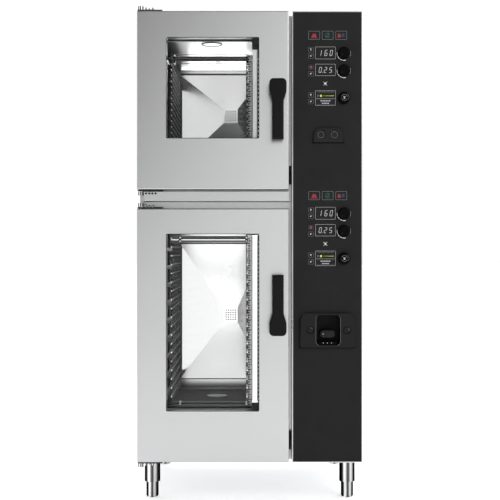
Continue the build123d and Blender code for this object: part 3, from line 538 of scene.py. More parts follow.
def finish_piece(bm, name, material, body="root", smooth=False):
    """Turn a bmesh into a piece that rides on a body."""
    bmesh.ops.recalc_face_normals(bm, faces=bm.faces)
    mesh = bpy.data.meshes.new(name)
    bm.to_mesh(mesh)
    bm.free()
    mesh.materials.append(material)
    if smooth:
        mesh.shade_smooth()
    piece = bpy.data.objects.new(name, mesh)
    bpy.context.collection.objects.link(piece)
    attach(piece, body)


def add_box(bm, low, high, bevel):
    """A box with softened edges."""
    low, high = Vector(low), Vector(high)
    made = bmesh.ops.create_cube(bm, size=1.0)["verts"]
    scale = Matrix.Diagonal((*(high - low), 1))
    bmesh.ops.transform(bm, matrix=Matrix.Translation((low + high) / 2) @ scale, verts=made)
    edges = list({e for v in made for e in v.link_edges})
    bmesh.ops.bevel(bm, geom=edges, offset=bevel, segments=2, affect="EDGES", profile=0.5)


def add_prism(bm, outline, y_front, y_back):
    """A flat shape in X and Z given thickness along Y."""
    front = [bm.verts.new((x, y_front, z)) for x, z in outline]
    back = [bm.verts.new((x, y_back, z)) for x, z in outline]
    bm.faces.new(front)
    bm.faces.new(reversed(back))
    for i in range(len(outline)):
        j = (i + 1) % len(outline)
        bm.faces.new((front[i], back[i], back[j], front[j]))


def rounded_outline(low_x, high_x, low_z, high_z, radius, steps=4):
    """Points round a rectangle with rounded corners."""
    corners = ((high_x - radius, high_z - radius, 0), (low_x + radius, high_z - radius, 1),
               (low_x + radius, low_z + radius, 2), (high_x - radius, low_z + radius, 3))
    points = []
    for x, z, quarter in corners:
        for step in range(steps + 1):
            angle = math.pi / 2 * (quarter + step / steps)
            points.append((x + radius * math.cos(angle), z + radius * math.sin(angle)))
    return points


def add_ring(bm, outer, inner, y_front, y_back):
    """A flat frame between two outlines of equal count, given thickness along Y."""
    count = len(outer)
    rows = [[bm.verts.new((x, y, z)) for x, z in line]
            for line, y in ((outer, y_front), (inner, y_front), (inner, y_back), (outer, y_back))]
    for a in range(4):
        row, following = rows[a], rows[(a + 1) % 4]
        for i in range(count):
            j = (i + 1) % count
            bm.faces.new((row[i], row[j], following[j], following[i]))


def grown_outline(low, high, margin, radius):
    """A rounded outline that stands a margin outside a box."""
    return rounded_outline(low[0] - margin, high[0] + margin, low[2] - margin, high[2] + margin, radius)


def notched_outline(low_x, high_x, low_z, high_z, pitch, depth):
    """A strip's outline with square notches down its left edge."""
    points = [(low_x, low_z), (high_x, low_z), (high_x, high_z), (low_x, high_z)]
    for index in reversed(range(int((high_z - low_z) / pitch))):
        bottom, top = low_z + (index + 0.3) * pitch, low_z + (index + 0.7) * pitch
        points += [(low_x, top), (low_x + depth, top), (low_x + depth, bottom), (low_x, bottom)]
    return points


def circle(x, z, radius, steps=24, start=0.0, turn=2 * math.pi):
    """Points along a circle or an arc."""
    last = steps if turn >= 2 * math.pi else steps - 1
    return [(x + radius * math.cos(start + turn * i / last),
             z + radius * math.sin(start + turn * i / last)) for i in range(steps)]


def add_turned(bm, centre, axis, profile, steps=24):
    """A turned solid from pairs in mm: radius and distance along the axis."""
    axis = Vector(axis).normalized()
    side = axis.orthogonal().normalized()
    other = axis.cross(side)
    centre = Vector(centre)
    rings = []
    for radius, along in profile:
        ring = []
        for i in range(steps):
            angle = 2 * math.pi * i / steps
            offset = side * math.cos(angle) + other * math.sin(angle)
            ring.append(bm.verts.new(centre + (axis * along + offset * radius) * MM))
        rings.append(ring)
    for low, high in zip(rings, rings[1:]):
        for i in range(steps):
            j = (i + 1) % steps
            bm.faces.new((low[i], low[j], high[j], high[i]))
    bm.faces.new(rings[0][::-1])
    bm.faces.new(rings[-1])


# ---- control panel graphics ----

# Colour, strength and unlit shade of each printed or lit ink
INK_LOOKS = {
    "white": ((0.8, 0.8, 0.8), 0.50, (0.3, 0.3, 0.3)),
    "line": ((0.4, 0.4, 0.4), 0.42, (0.24, 0.24, 0.24)),
    "digit": ((0.8, 0.8, 0.8), 0.46, (0.2, 0.2, 0.2)),
    "grey": ((0.25, 0.25, 0.25), 0.30, (0.12, 0.12, 0.12)),
    "red": ((0.50, 0.015, 0.04), 0.30, (0.12, 0.004, 0.01)),
    "teal": ((0.0, 0.20, 0.17), 0.30, (0.0, 0.04, 0.034)),
    "blue": ((0.03, 0.14, 0.30), 0.40, (0.01, 0.05, 0.1)),
    "violet": ((0.10, 0.09, 0.14), 0.35, (0.03, 0.03, 0.04)),
    "lime": ((0.5, 0.55, 0.05), 0.7, (0.3, 0.3, 0.02)),
}
INK = {name: glow(f"ink_{name}", *look) for name, look in INK_LOOKS.items()}
INK["shadow"] = plastic("ink_shadow", (0.02, 0.02, 0.021), 0.35, 0.2)
PRINT = 0.25 * MM
FULL_TURN = 2 * math.pi - 0.01
SEGMENTS = {"0": "abcdef", "1": "bc", "2": "abged", "5": "afgcd", "6": "afgedc"}
# In mm; a one stands a little to the left of its place
DIGIT_WIDTH, DIGIT_PITCH, ONE_SHIFT = 8.2, 19.5, 3


class Sheet:
    """Printed marks of one colour in one piece; shapes are in mm round a centre that moves."""

    def __init__(self, name, ink, y):
        self.bm = bmesh.new()
        self.name, self.ink, self.y = name, ink, y
        self.x = self.z = 0.0

    def centre(self, x, z):
        """Move the centre to a place in metres."""
        self.x, self.z = x, z

    def centre_on(self, low, high):
        """Move the centre to the middle of a box."""
        self.centre((low[0] + high[0]) / 2, (low[2] + high[2]) / 2)

    def polygon(self, points):
        """A filled shape."""
        placed = [(self.x + x * MM, self.z + z * MM) for x, z in points]
        add_prism(self.bm, placed, self.y - PRINT, self.y)

    def frame(self, low, high, width, radius):
        """A line round the inside of a box's edge."""
        inner_radius = max(radius - width, radius * 0.3)
        add_ring(self.bm, grown_outline(low, high, 0, radius * MM),
                 grown_outline(low, high, -width * MM, inner_radius * MM), self.y - PRINT, self.y)

    def band(self, inner, outer, start, turn, x=0, z=0):
        """A ring or a part of one."""
        self.polygon(circle(x, z, outer, 24, start, turn) + circle(x, z, inner, 24, start, turn)[::-1])

    def bar(self, x0, z0, x1, z1, width):
        """A stroke with pointed ends."""
        along = Vector((x1 - x0, z1 - z0)).normalized() * width / 2
        across = Vector((-along.y, along.x))
        start, end = Vector((x0, z0)), Vector((x1, z1))
        self.polygon([start + across, start - along, start - across,
                      end - across, end + along, end + across])

    def done(self, body="root"):
        """Make the piece."""
        finish_piece(self.bm, self.name, INK[self.ink], body)


def add_digit(sheet, char, x, z, width, height, slant=0.17):
    """One slanted seven-segment figure from its lower left corner."""
    stroke = height * 0.085
    mid, top = z + height / 2, z + height
    gap = stroke * 0.62

    def lean(at):
        return (at - z) * slant

    ends = {
        "a": (x + gap + lean(top), top, x + width - gap + lean(top), top),
        "g": (x + gap + lean(mid), mid, x + width - gap + lean(mid), mid),
        "d": (x + gap, z, x + width - gap, z),
        "f": (x + lean(mid + gap), mid + gap, x + lean(top - gap), top - gap),
        "e": (x + lean(z + gap), z + gap, x + lean(mid - gap), mid - gap),
        "b": (x + width + lean(mid + gap), mid + gap, x + width + lean(top - gap), top - gap),
        "c": (x + width + lean(z + gap), z + gap, x + width + lean(mid - gap), mid - gap),
    }
    for part in SEGMENTS[char]:
        sheet.bar(*ends[part], stroke)


def draw_figures(line, digit, pane, text, start, point=None):
    """A framed display with figures from a start, and a decimal point where one is given, in mm."""
    low, high = pane
    line.frame(low, high, 1, 3)
    height = (high.z - low.z) / MM * 0.44
    digit.centre(low.x, (low.z + high.z) / 2)
    for place, char in enumerate(text):
        x = start + place * DIGIT_PITCH - (ONE_SHIFT if char == "1" else 0)
        add_digit(digit, char, x, -height / 2, DIGIT_WIDTH, height)
    if point:
        digit.polygon(circle(point, -height / 2, 1, 10))


def draw_menu(line, violet, lime, pane):
    """The lower display: a row of marks, a lit scale that grows, and two rows of marks below."""
    low, high = pane
    line.frame(low, high, 1, 2)
    split = low.z + (high.z - low.z) * 0.47
    wide, above, below = (high.x - low.x) / MM, (high.z - split) / MM, (low.z - split) / MM
    for sheet in (line, violet, lime):
        sheet.centre(low.x, split)
    line.bar(2, 0, wide - 2, 0, 0.8)
    lime.polygon(rounded_outline(18, 25, 6, 14, 1))
    for step in range(11):
        x, size = 30 + step * 3.7, 0.6 + 0.09 * step
        lime.polygon([(x, 10 - size), (x + 2.2, 10 - size), (x + 2.2, 10 + size), (x, 10 + size)])
    line.bar(10, 6.6, 10, 13.4, 1.4)
    for mark in range(12):
        x = 8 + mark * 5.2
        violet.bar(x, above - 5, x + 3.4, above - 5, 4.4 if mark % 3 else 2.6)
    for z in (-4.2, below + 4):
        violet.bar(6, z, wide - 6, z, 1.2)
    for z, count in ((-9, 7), (-18, 5)):
        for mark in range(count):
            x = wide / 2 + (mark - (count - 1) / 2) * 5.2
            line.bar(x - 1.7, z, x + 1.7, z, 3.2 if mark % 2 else 4.4)


def draw_side_keys(white, line, red, keys):
    """The marks on the small keys beside the displays; the third is a clock in a red frame."""
    for index, (low, high) in enumerate(keys):
        for sheet in (white, line):
            sheet.centre_on(low, high)
        if index == 2:
            red.frame(low, high, 0.8, 2.5)
            line.band(3.8, 4.6, 0, FULL_TURN)
            line.bar(0, 0, 0, 3, 0.8)
        elif index % 2:
            white.polygon([(-3, -2.6), (3, 0), (-3, 2.6)])
            line.bar(1, 3.6, 4.4, 3.6, 1)
        else:
            white.band(1.6, 2.8, 0.4, 5.2)
            white.bar(-3.2, 3.2, 1, 3.2, 1.2)


# The lit arc round a plain knob: start and turn in degrees, thickness in mm
KNOB_ARCS = ((174, 30, 1.5), (208, 24, 1.9), (236, 20, 2.2), (260, 24, 2.6))


def draw_knob_arcs(white, line, deck):
    """The arcs printed round the plain knobs, and a thin grey arc at each knob's right edge that is a painted
    highlight.
    """
    for use in ("temperature", "time"):
        for sheet in (white, line):
            sheet.centre_on(*solids_of(f"{deck}_{use}_knob")[0])
        for start, turn, thick in KNOB_ARCS:
            white.band(25.6, 25.6 + thick, math.radians(start), math.radians(turn))
        # Painted highlight on the knob's right edge
        line.band(24.6, 25.4, math.radians(-28), math.radians(50))


# Ends of the sheets' names, with their inks
PANEL_SHEETS = (("white", "white"), ("line", "line"), ("digits", "digit"), ("violet", "violet"),
                ("grey", "grey"), ("red", "red"), ("teal", "teal"), ("blue", "blue"), ("lime", "lime"))
PANES, KEYS = 3, 10
# Mode keys are wider than this, and the small keys left of this place stand beside the displays
WIDE_KEY = 30 * MM
SIDE_KEY_X = 235 * MM


def panel_graphics(deck, panes, keys, y):
    """Outlines, icons and lit figures of one oven's controls."""
    sheets = [Sheet(f"{deck}_panel_{name}", ink, y) for name, ink in PANEL_SHEETS]
    white, line, digit, violet, grey, red, teal, blue, lime = sheets
    menu_pane, time_pane, heat_pane = panes
    draw_figures(line, digit, heat_pane, "160", 15.4)
    draw_figures(line, digit, time_pane, "025", 13.2, point=26.6)
    draw_menu(line, violet, lime, menu_pane)

    modes = sorted((k for k in keys if k[1].x - k[0].x > WIDE_KEY), key=lambda k: k[0].x)
    small = [k for k in keys if k[1].x - k[0].x <= WIDE_KEY]
    side = sorted((k for k in small if k[0].x < SIDE_KEY_X), key=lambda k: -k[0].z)
    star = [k for k in small if k[0].x >= SIDE_KEY_X][0]
    for low, high in modes:
        grey.frame(low, high, 1, 3)
    for low, high in side:
        grey.frame(low, high, 0.6, 2.5)
    draw_heat(red, modes[0])
    draw_steam(teal, modes[1])
    draw_mixed(red, blue, modes[2])
    draw_side_keys(white, line, red, side)
    draw_star(white, star)
    draw_knob_arcs(white, line, deck)
    for sheet in sheets:
        sheet.done()


def draw_heat(sheet, key):
    """A glowing shape with two peaks over a bar: hot air."""
    sheet.centre_on(*key)
    sheet.polygon([(-11, -8), (11, -8), (4, 8), (0, 3), (-4, 8)])
    sheet.bar(-13, -10.5, 13, -10.5, 1.6)


def draw_steam(sheet, key):
    """Two open rings with a stroke across: steam."""
    sheet.centre_on(*key)
    sheet.band(8.6, 10.2, 0.5, 5.4)
    sheet.band(3.6, 5.4, 3.4, 5.0)
    sheet.bar(-6, -6, 6, 6, 1.4)


def draw_mixed(red, blue, key):
    """Two peaks and a ring with a stroke: hot air with steam."""
    red.centre_on(*key)
    blue.centre_on(*key)
    red.polygon([(-14, -8), (-1, -8), (-4, 8), (-8, 3), (-12, 8)])
    blue.band(4.6, 6.2, 0.6, 5.2, x=8)
    blue.bar(4, -5, 12, 5, 1.2)


def draw_star(sheet, key):
    """An eight-armed light mark."""
    sheet.centre_on(*key)
    for arm in range(8):
        across, up = math.cos(math.pi / 4 * arm), math.sin(math.pi / 4 * arm)
        reach = 10 if arm % 2 else 5
        sheet.bar(2 * across, 2 * up, reach * across, reach * up, 1.2)
    sheet.polygon(circle(0, 0, 3.2, 16))


def make_graphics():
    """The printed and lit marks of both ovens."""
    panes, keys = solids_of("displays"), solids_of("touch_keys")
    y = min(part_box("displays")[0][1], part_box("touch_keys")[0][1])
    panel_graphics("lower", panes[:PANES], keys[:KEYS], y)
    panel_graphics("upper", panes[PANES:], keys[KEYS:], y)


# ---- small parts on the doors and casing ----

def window_trims():
    """A thin black seal round each pane, and the block that holds the lamp strip."""
    for deck in DECKS:
        low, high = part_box(f"{deck}_glass_panes")
        seal = bmesh.new()
        outer = grown_outline(low, high, 0.3 * MM, 6.2 * MM)
        inner = grown_outline(low, high, -2.2 * MM, 5 * MM)
        add_ring(seal, outer, inner, low[1] - 0.4 * MM, low[1] + 0.3 * MM)
        finish_piece(seal, f"{deck}_window_seal", PLASTIC["rubber"], f"{deck}_door")
        lamp_low, lamp_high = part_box(f"{deck}_light_bar")
        if deck == "upper":
            foot, top = lamp_high[2] + 0.5 * MM, high[2] - 2 * MM
        else:
            foot, top = low[2] + 2 * MM, lamp_low[2] - 0.5 * MM
        holder = bmesh.new()
        add_box(holder, (lamp_low[0], lamp_low[1], foot), (high[0] - 1 * MM, lamp_high[1], top), 1.5 * MM)
        for row in range(3):
            rib = foot + (top - foot) * (0.25 + 0.25 * row)
            add_box(holder, (lamp_low[0] - 1 * MM, lamp_low[1] + 2 * MM, rib - 1 * MM),
                    (high[0] - 0.8 * MM, lamp_high[1] - 2 * MM, rib + 1 * MM), 0.4 * MM)
        finish_piece(holder, f"{deck}_lamp_holder", PLASTIC["housing"], f"{deck}_door")


def add_screw(bm, centre, axis, radius):
    """A pan-head screw with a recess; the radius is in mm."""
    height = radius * 0.5
    add_turned(bm, centre, axis, [(radius, 0), (radius, height * 0.45), (radius * 0.8, height * 0.85),
                                  (radius * 0.42, height), (radius * 0.3, height * 0.4)], 20)


def casing_screws():
    """Screws along the casing's edges, on the sides and the back."""
    bm = bmesh.new()
    rows = 7
    for node, way in (("left_side_panel", -1), ("right_side_panel", 1)):
        low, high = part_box(node)
        x = low[0] if way < 0 else high[0]
        for row in range(rows):
            z = low[2] + 60 * MM + (high[2] - low[2] - 120 * MM) * row / (rows - 1)
            for y in (low[1] + 20 * MM, high[1] - 20 * MM):
                add_screw(bm, (x, y, z), (way, 0, 0), 3.8)
    low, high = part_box("rear_panel")
    for row in range(rows):
        z = low[2] + 30 * MM + (high[2] - low[2] - 60 * MM) * row / (rows - 1)
        for x in (low[0] + 20 * MM, (low[0] + high[0]) / 2, high[0] - 20 * MM):
            add_screw(bm, (x, high[1], z), (0, 1, 0), 4.2)
    finish_piece(bm, "casing_screws", STEEL["hinge"])


def add_rod(bm, start, end, radius):
    """A straight rod with chamfered ends; the radius is in mm."""
    start, end = Vector(start), Vector(end)
    length = (end - start).length / MM
    add_turned(bm, start, end - start, [(radius * 0.7, 0), (radius, radius * 0.5),
                                        (radius, length - radius * 0.5), (radius * 0.7, length)], 8)


# ---- racks and lamp rails ----

# The racks' side parts are narrower than this; a place between the left rack and the right one
NARROW = 100 * MM
BETWEEN_RACKS = -150 * MM


def rack_faces(deck):
    """Where the inner side of the left rack and of the right rack stand."""
    narrow = [(low, high) for low, high in solids_of(f"{deck}_racks") if high.x - low.x < NARROW]
    left = max(high.x for low, high in narrow if high.x < BETWEEN_RACKS)
    right = min(low.x for low, high in narrow if low.x > BETWEEN_RACKS)
    return left, right


WIRE_PITCH = {"upper": 11 * MM, "lower": 17 * MM}
UPRIGHTS = 9


def rack_wires():
    """Wire runners along the inner side of each rack; every other one is light-coloured, a painted highlight
    for the glints along the rails.
    """
    for deck, pitch in WIRE_PITCH.items():
        low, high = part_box(f"{deck}_racks")
        left, right = rack_faces(deck)
        dark, bright = bmesh.new(), bmesh.new()
        for face, into in ((left, 1), (right, -1)):
            x = face + into * 3 * MM
            for row in range(int((high[2] - low[2] - 30 * MM) / pitch)):
                z = low[2] + 15 * MM + row * pitch
                # Every other wire is light: a painted highlight for a glint along the rail
                wire, radius = (bright, 1.7) if row % 2 else (dark, 2.2)
                add_rod(wire, (x, low[1] + 6 * MM, z), (x, high[1] - 6 * MM, z), radius)
            x = face + into * 6 * MM
            for index in range(UPRIGHTS):
                y = low[1] + 30 * MM + (high[1] - low[1] - 60 * MM) * index / (UPRIGHTS - 1)
                add_rod(dark, (x, y, low[2] + 6 * MM), (x, y, high[2] - 6 * MM), 1.6)
        finish_piece(dark, f"{deck}_rack_wires", STEEL["wire"], smooth=True)
        finish_piece(bright, f"{deck}_rack_glint_runners", PLASTIC["glint_coat"], smooth=True)


TOOTH_PITCH = 9.5 * MM
TOOTH_WIDTHS = (8 * MM, 6 * MM, 9 * MM, 5 * MM)
CLIP_PITCH = 16 * MM


def rack_combs():
    """Toothed strips at the front of the right racks, light-coloured as a painted highlight, and the rails
    beside the lamps.
    """
    for deck in DECKS:
        low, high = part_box(f"{deck}_racks")
        window_low, window_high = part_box(f"{deck}_glass_panes")
        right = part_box(f"{deck}_light_bar")[0][0]
        left, face = right - 14 * MM, low[1] - 4 * MM
        start, end = window_low[2] + 12 * MM, min(window_high[2] - 12 * MM, high[2] - 4 * MM)
        strip, teeth = bmesh.new(), bmesh.new()
        outline = notched_outline(left, right, start, end, TOOTH_PITCH, 2.5 * MM)
        add_prism(strip, outline, face, face + 1.5 * MM)
        for index in range(int((end - start) / TOOTH_PITCH)):
            z = start + index * TOOTH_PITCH
            wide = TOOTH_WIDTHS[index % len(TOOTH_WIDTHS)]
            add_box(teeth, (left, face - 1.5 * MM, z + 2 * MM), (left + wide, face, z + 7 * MM), 0.4 * MM)
            add_box(teeth, (right - 2 * MM, face - 1.5 * MM, z + 4 * MM), (right, face, z + 9 * MM), 0.4 * MM)
        # The strip's light coat is a painted highlight
        finish_piece(strip, f"{deck}_rack_strip", PLASTIC["glint_coat"])
        finish_piece(teeth, f"{deck}_rack_teeth", STEEL["wire"])
        lamp_rail(deck)


def lamp_rail(deck):
    """A notched rail beside the lamp strip, with its clips."""
    lamp_low, lamp_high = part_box(f"{deck}_light_bar")
    left, right = lamp_high[0] + 0.4 * MM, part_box(f"{deck}_glass_panes")[1][0] - 1.2 * MM
    foot, top = lamp_low[2] + 2 * MM, lamp_high[2] - 2 * MM
    front = lamp_low[1] + 3 * MM
    rail, clips = bmesh.new(), bmesh.new()
    add_prism(rail, notched_outline(left, right, foot, top, CLIP_PITCH, 1 * MM), front, front + 3 * MM)
    for index in range(int((lamp_high[2] - lamp_low[2]) / CLIP_PITCH) - 1):
        z = lamp_low[2] + 10 * MM + index * CLIP_PITCH
        add_box(clips, (left + 0.6 * MM, front - 1.6 * MM, z), (right - 0.6 * MM, front, z + 6 * MM),
                0.5 * MM)
    finish_piece(rail, f"{deck}_lamp_rail", PLASTIC["screen"], f"{deck}_door")
    finish_piece(clips, f"{deck}_lamp_clips", STEEL["trim"], f"{deck}_door")


# Front fittings of each rack, in mm: rods (depth below its top, radius), and clamp blocks (distance from
# its left side, or from its right side where negative; lower and upper end below its top)
FRONT_RODS = {
    "upper": ((2, 1.3), (36, 1.3)),
    "lower": ((53, 1.6), (71, 2.4)),
}
CLAMPS = {
    "upper": ((45, 42, 2), (-30.5, 42, 2)),
    "lower": ((67, 74, 52), (-33, 74, 52), (67, 700, 684), (-33, 700, 684)),
}
# Ends of the upper rack's bar, in mm: radius and distance from the end
BAR_COLLAR = ((4.4, 0), (6.2, 1.2), (6.2, 8), (5.4, 9))
DOME_NUT = ((4, 0), (4, 2), (3, 3.6), (1.2, 4.4))


def rack_fixings():
    """Cross rods, clamp blocks and dome nuts at the front of each rack."""
    for deck in DECKS:
        low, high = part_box(f"{deck}_racks")
        face, top = low[1], high[2]
        left, right = rack_faces(deck)
        clamps, nuts = bmesh.new(), bmesh.new()
        if deck == "lower":
            add_box(clamps, (left, face + 10 * MM, top - 68 * MM), (right, face + 12 * MM, top - 49 * MM),
                    0.8 * MM)
            z = top - 64.5 * MM
            add_rod(nuts, (left, face + 7 * MM, z), (right, face + 7 * MM, z), 1.1)
        for drop, radius in FRONT_RODS[deck]:
            z = top - drop * MM
            add_rod(clamps, (left, face + 6 * MM, z), (right, face + 6 * MM, z), radius)
        for aside, *drops in CLAMPS[deck]:
            x = (low[0] if aside > 0 else high[0]) + aside * MM
            foot, head = (top - drop * MM for drop in drops)
            add_box(clamps, (x - 5 * MM, face + 1 * MM, foot), (x + 5 * MM, face + 11 * MM, head), 1 * MM)
            for z in (foot + 5 * MM, head - 5 * MM):
                add_turned(nuts, (x, face + 1 * MM, z), (0, -1, 0), DOME_NUT, 6)
        if deck == "upper":
            rack_bar(left, right, face + 6 * MM, top - 22 * MM)
        finish_piece(clamps, f"{deck}_rack_clamps", STEEL["wire"])
        finish_piece(nuts, f"{deck}_rack_nuts", STEEL["bright"])


def rack_bar(left, right, y, z):
    """A dark bar with a collar at each end, across the front of the upper racks."""
    bar, wide = bmesh.new(), (right - left) / MM
    far_end = [(radius, wide - at) for radius, at in reversed(BAR_COLLAR)]
    add_turned(bar, (left, y, z), (1, 0, 0), [*BAR_COLLAR, *far_end])
    finish_piece(bar, "upper_rack_bar", PLASTIC["rubber"], smooth=True)


# ---- hoods, ceilings and floor of the cavities ----

def baffle_edges():
    """A dark ring of painted shade in the gap round each hood, and the nuts that hold it."""
    for deck, (low, high) in zip(("lower", "upper"), solids_of("fan_baffles")):
        # Painted shade: a near-black ring stands for the shade in the gap round the hood
        rim = bmesh.new()
        outer = rounded_outline(low.x - 3 * MM, high.x + 1 * MM, low.z - 3 * MM, high.z + 6 * MM, 3 * MM)
        inner = rounded_outline(low.x, high.x - 1 * MM, low.z, high.z, 2 * MM)
        add_ring(rim, outer, inner, high.y - 3 * MM, high.y + 2 * MM)
        finish_piece(rim, f"{deck}_baffle_gap_shade", STEEL["wire"])
        nuts = bmesh.new()
        for x in (low.x + 10 * MM, high.x - 10 * MM):
            for z in (low.z + 10 * MM, high.z - 10 * MM):
                add_turned(nuts, (x, high.y - 4 * MM, z), (0, -1, 0),
                           [(4, 0), (4, 3), (3, 5), (1.5, 6)], 12)
        finish_piece(nuts, f"{deck}_baffle_nuts", STEEL["bright"])


def ceiling_rings():
    """A pressed ring round the vent in each cavity's ceiling, and the disc in it."""
    for deck in DECKS:
        low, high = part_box(f"{deck}_cavity")
        centre = ((low[0] + high[0]) / 2 - 7 * MM, low[1] + 45 * MM, high[2] - 2 * MM)
        ring, disc = bmesh.new(), bmesh.new()
        add_turned(ring, centre, (0, 0, -1), [(41, -1), (41, 2), (38, 3), (35.5, 0.6)], 40)
        finish_piece(ring, f"{deck}_ceiling_ring", STEEL["wire"])
        add_turned(disc, centre, (0, 0, -1), [(35, 0), (35, 1), (33, 1.6), (10, 1.2)], 40)
        finish_piece(disc, f"{deck}_ceiling_disc", STEEL["trim"])


# The tray's section from its underside over its rim, in mm: distance from the wall and height
TRAY_SECTION = ((6, 0), (6, 5), (9, 5), (11, 0.8))


def floor_tray():
    """A seasoned tray lying on the lower cavity's floor, with a raised rim."""
    low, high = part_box("lower_cavity")
    z = low[2] + 2.2 * MM
    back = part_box("fan_baffles")[0][1] - 7 * MM
    tray, lines = bmesh.new(), []
    for inset, rise in TRAY_SECTION:
        points = rounded_outline(low[0] + inset * MM, high[0] - inset * MM,
                                 low[1] + (inset + 2) * MM, back - inset * MM, 14 * MM)
        lines.append([tray.verts.new((x, y, z + rise * MM)) for x, y in points])
    for line, following in zip(lines, lines[1:]):
        for i in range(len(line)):
            j = (i + 1) % len(line)
            tray.faces.new((line[i], line[j], following[j], following[i]))
    tray.faces.new(lines[0][::-1])
    tray.faces.new(lines[-1])
    finish_piece(tray, "lower_floor_tray", PLASTIC["tray"])


# ---- housings, hinges and knobs ----

def housing_lips():
    """A lip under each housing, near-black as painted shade for the shadow line below it, and one across the
    foot of the shower's pocket.
    """
    lips = bmesh.new()
    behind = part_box("control_fascia")[0][1] - 0.1 * MM
    # The lips under the housings are partly a real ledge, partly painted shade: near-black for the shadow
    # line beneath
    for node, left, right in (("shower_pocket", 4, 4), ("probe_sockets", 5, 9)):
        low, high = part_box(node)
        outline = rounded_outline(low[0] - left * MM, high[0] + right * MM, low[2] - 2.2 * MM,
                                  low[2] - 0.2 * MM, 0.9 * MM)
        add_prism(lips, outline, low[1] + 4 * MM, behind)
    low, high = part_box("shower_pocket")
    outline = rounded_outline(low[0] + 72 * MM, high[0] - 66 * MM,
                              low[2] + 11.5 * MM, low[2] + 22 * MM, 2 * MM)
    add_prism(lips, outline, low[1] + 2 * MM, low[1] + 12 * MM)
    finish_piece(lips, "housing_lips", PLASTIC["knob"])


# The grey line down each side of the shower's pocket, a painted highlight on its edges, in mm from the
# housing's lower left corner
RIM_SIDES = ((58.4, 1), (151.6, -1))
RIM_LOW, RIM_HIGH = 24.4, 107.6
RIM_RADIUS, RIM_WIDTH = 16, 0.8
# The shade that follows the housing's top edge and its rounded corners, in mm
HOUSING_CORNER, SHADE_DROP, SHADE_WIDTH = 22, 1.6, 1.2


def shower_marks():
    """The pocket's rim and the finger wells beside it as painted highlights, the shade along the housing's
    top, three dots, and a painted highlight spot on the nose.
    """
    low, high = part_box("shower_pocket")
    wide, tall = (high[0] - low[0]) / MM, (high[2] - low[2]) / MM
    rim = Sheet("shower_rim_highlight", "grey", low[1])
    shade = Sheet("shower_shade", "shadow", low[1])
    dots = Sheet("shower_dots", "white", low[1] + 2 * MM)
    for sheet in (rim, shade, dots):
        sheet.centre(low[0], low[2])

    inner = RIM_RADIUS - RIM_WIDTH
    # Painted highlight along each side of the pocket's edge
    for x, into in RIM_SIDES:
        left, right = sorted((x, x + RIM_WIDTH * into))
        rim.polygon([(left, RIM_LOW), (right, RIM_LOW), (right, RIM_HIGH), (left, RIM_HIGH)])
        corner = x + RIM_RADIUS * into
        low_start, high_start = (math.pi, math.pi - 0.8) if into > 0 else (1.6 * math.pi, 0)
        rim.band(inner, RIM_RADIUS, low_start, 0.4 * math.pi, corner, RIM_LOW)
        rim.band(inner, RIM_RADIUS, high_start, 0.8, corner, RIM_HIGH)
    # Painted highlights on the finger wells beside the pocket
    for x, start in ((37.5, 0.4), (174.7, -0.2)):
        rim.band(9, 10, start, 1.3, x, 65.5)
    rim.done()

    top, corner = tall - SHADE_DROP, HOUSING_CORNER
    foot, radius = top - SHADE_WIDTH, corner - SHADE_DROP
    shade.polygon([(corner, foot), (wide - corner, foot), (wide - corner, top), (corner, top)])
    for x, start in ((corner, 0.5 * math.pi), (wide - corner, 0.2 * math.pi)):
        shade.band(radius - SHADE_WIDTH, radius, start, 0.3 * math.pi, x, top - radius)
    shade.done()

    for x in (86.5, 102.3, 117.4):
        dots.polygon(circle(x, 17.6, 1.4, 10))
    dots.done()
    # Painted highlight: a white spot on the nose
    low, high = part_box("hand_shower")
    nose_highlight = Sheet("shower_nose_highlight", "white", low[1])
    nose_highlight.centre_on(low, high)
    nose_highlight.polygon(circle(-16, 0, 1.6, 12))
    nose_highlight.done("hand_shower")


def socket_rim_highlights():
    """A thin grey ring round each probe socket: a painted highlight on its rim."""
    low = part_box("probe_sockets")[0]
    rings = Sheet("socket_rim_highlights", "grey", low[1])
    rings.centre(low[0], low[2])
    for x in (26.8, 78.1):
        rings.band(11.4, 12.2, 0, FULL_TURN, x, 28)
    rings.done()


# Turned profiles on the hinge plates and the drip channel
HINGE_WASHER = ((11.2, 0), (11.2, 1.6), (10.4, 2.2))
BOLT_WASHER = ((5.8, 0), (5.8, 1.2), (5.2, 1.6))
CHANNEL_BOLT = ((4.4, 0), (4.4, 3), (3.2, 4.4))
BOLT_HEIGHTS = (11, 7, 10)


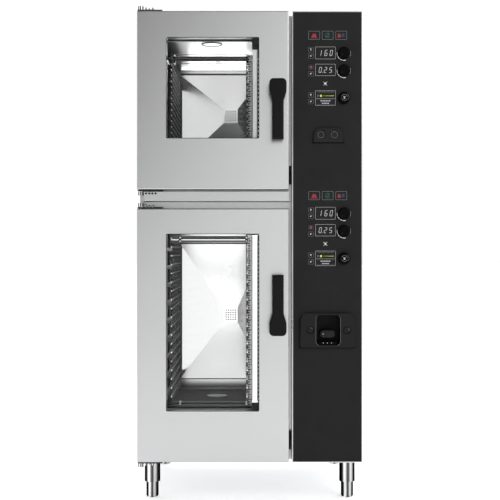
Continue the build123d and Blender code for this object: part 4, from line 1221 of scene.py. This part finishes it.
def hinge_hardware():
    """Nuts and washers on the hinge plates, and bolts in the drip channel beside the third."""
    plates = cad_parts["hinge_brackets"].data.vertices
    channel_low, channel_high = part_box("drip_channel")
    nuts, washers = bmesh.new(), bmesh.new()
    for index, (low, high) in enumerate(solids_of("hinge_brackets")):
        levels = sorted({round(v.co.z, 4) for v in plates if low.z - MM < v.co.z < high.z + MM})
        upward = index % 2
        face = levels[-2] if upward else levels[1]
        way = (0, 0, 1 if upward else -1)
        x, y = low.x + 11 * MM, low.y + 16 * MM
        add_turned(washers, (x, y, face), way, HINGE_WASHER, 24)
        if index == 2:
            for step in range(4):
                at = (channel_low[0] + (8 + step * 12) * MM, channel_low[1], channel_high[2] - 9 * MM)
                add_turned(nuts, at, (0, -1, 0), CHANNEL_BOLT, 6)
            continue
        for step, tall in enumerate(BOLT_HEIGHTS):
            at = (x + (19 + step * 13) * MM, y - 4 * MM, face)
            add_turned(washers, at, way, BOLT_WASHER, 20)
            add_turned(nuts, at, way, [(4.6, 1.2), (4.6, 5), (2.6, 5.6), (2.6, tall - 1), (2, tall)], 6)
    finish_piece(nuts, "hinge_nuts", STEEL["foot"])
    finish_piece(washers, "hinge_washers", STEEL["bright"])


# How deep the marks' backs lie in a knob's face
MARK_DEPTH = 0.05 * MM
POINTER_ANGLE = math.radians(225)


def knob_marks():
    """A dark pointer mark on each plain knob, painted shade standing for a groove, and a mark with rings on
    each scroll knob, whose outer arc on the right is a painted highlight.
    """
    across, up = math.cos(POINTER_ANGLE), math.sin(POINTER_ANGLE)
    for deck in DECKS:
        for use in ("temperature", "time"):
            knob = f"{deck}_{use}_knob"
            low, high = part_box(knob)
            # Painted shade: a thin dark mark stands for the pointer groove
            pointer = Sheet(f"{deck}_{use}_pointer", "shadow", low[1] + MARK_DEPTH)
            pointer.centre_on(low, high)
            pointer.bar(10 * across, 10 * up, 17 * across, 17 * up, 1.2)
            pointer.done(knob)
        knob = f"{deck}_scroll_knob"
        low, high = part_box(knob)
        mark = Sheet(f"{deck}_scroll_mark", "white", low[1] + MARK_DEPTH)
        rings = Sheet(f"{deck}_scroll_rings_and_highlight", "grey", low[1] + MARK_DEPTH)
        mark.centre_on(low, high)
        rings.centre_on(low, high)
        for stroke in ((-3, 3.4, -0.6, -1, 1.8), (0.8, -3, 2.6, 3.4, 1.8), (-2.4, -4, 1.4, -4, 1.4)):
            mark.bar(*stroke)
        mark.done(knob)
        # The outer arc on the right is a painted highlight on the knob's edge
        for arc in ((10.4, 11.4, 0.2, 2.6), (10.4, 11.4, 3.4, 2.5), (16.2, 16.9, -0.5, 1.5)):
            rings.band(*arc)
        rings.done(knob)


make_camera()
make_world()
make_lights()
make_floor()
dress_nodes()
make_graphics()
window_trims()
casing_screws()
hinge_hardware()
rack_wires()
rack_combs()
rack_fixings()
baffle_edges()
ceiling_rings()
floor_tray()
housing_lips()
shower_marks()
socket_rim_highlights()
knob_marks()
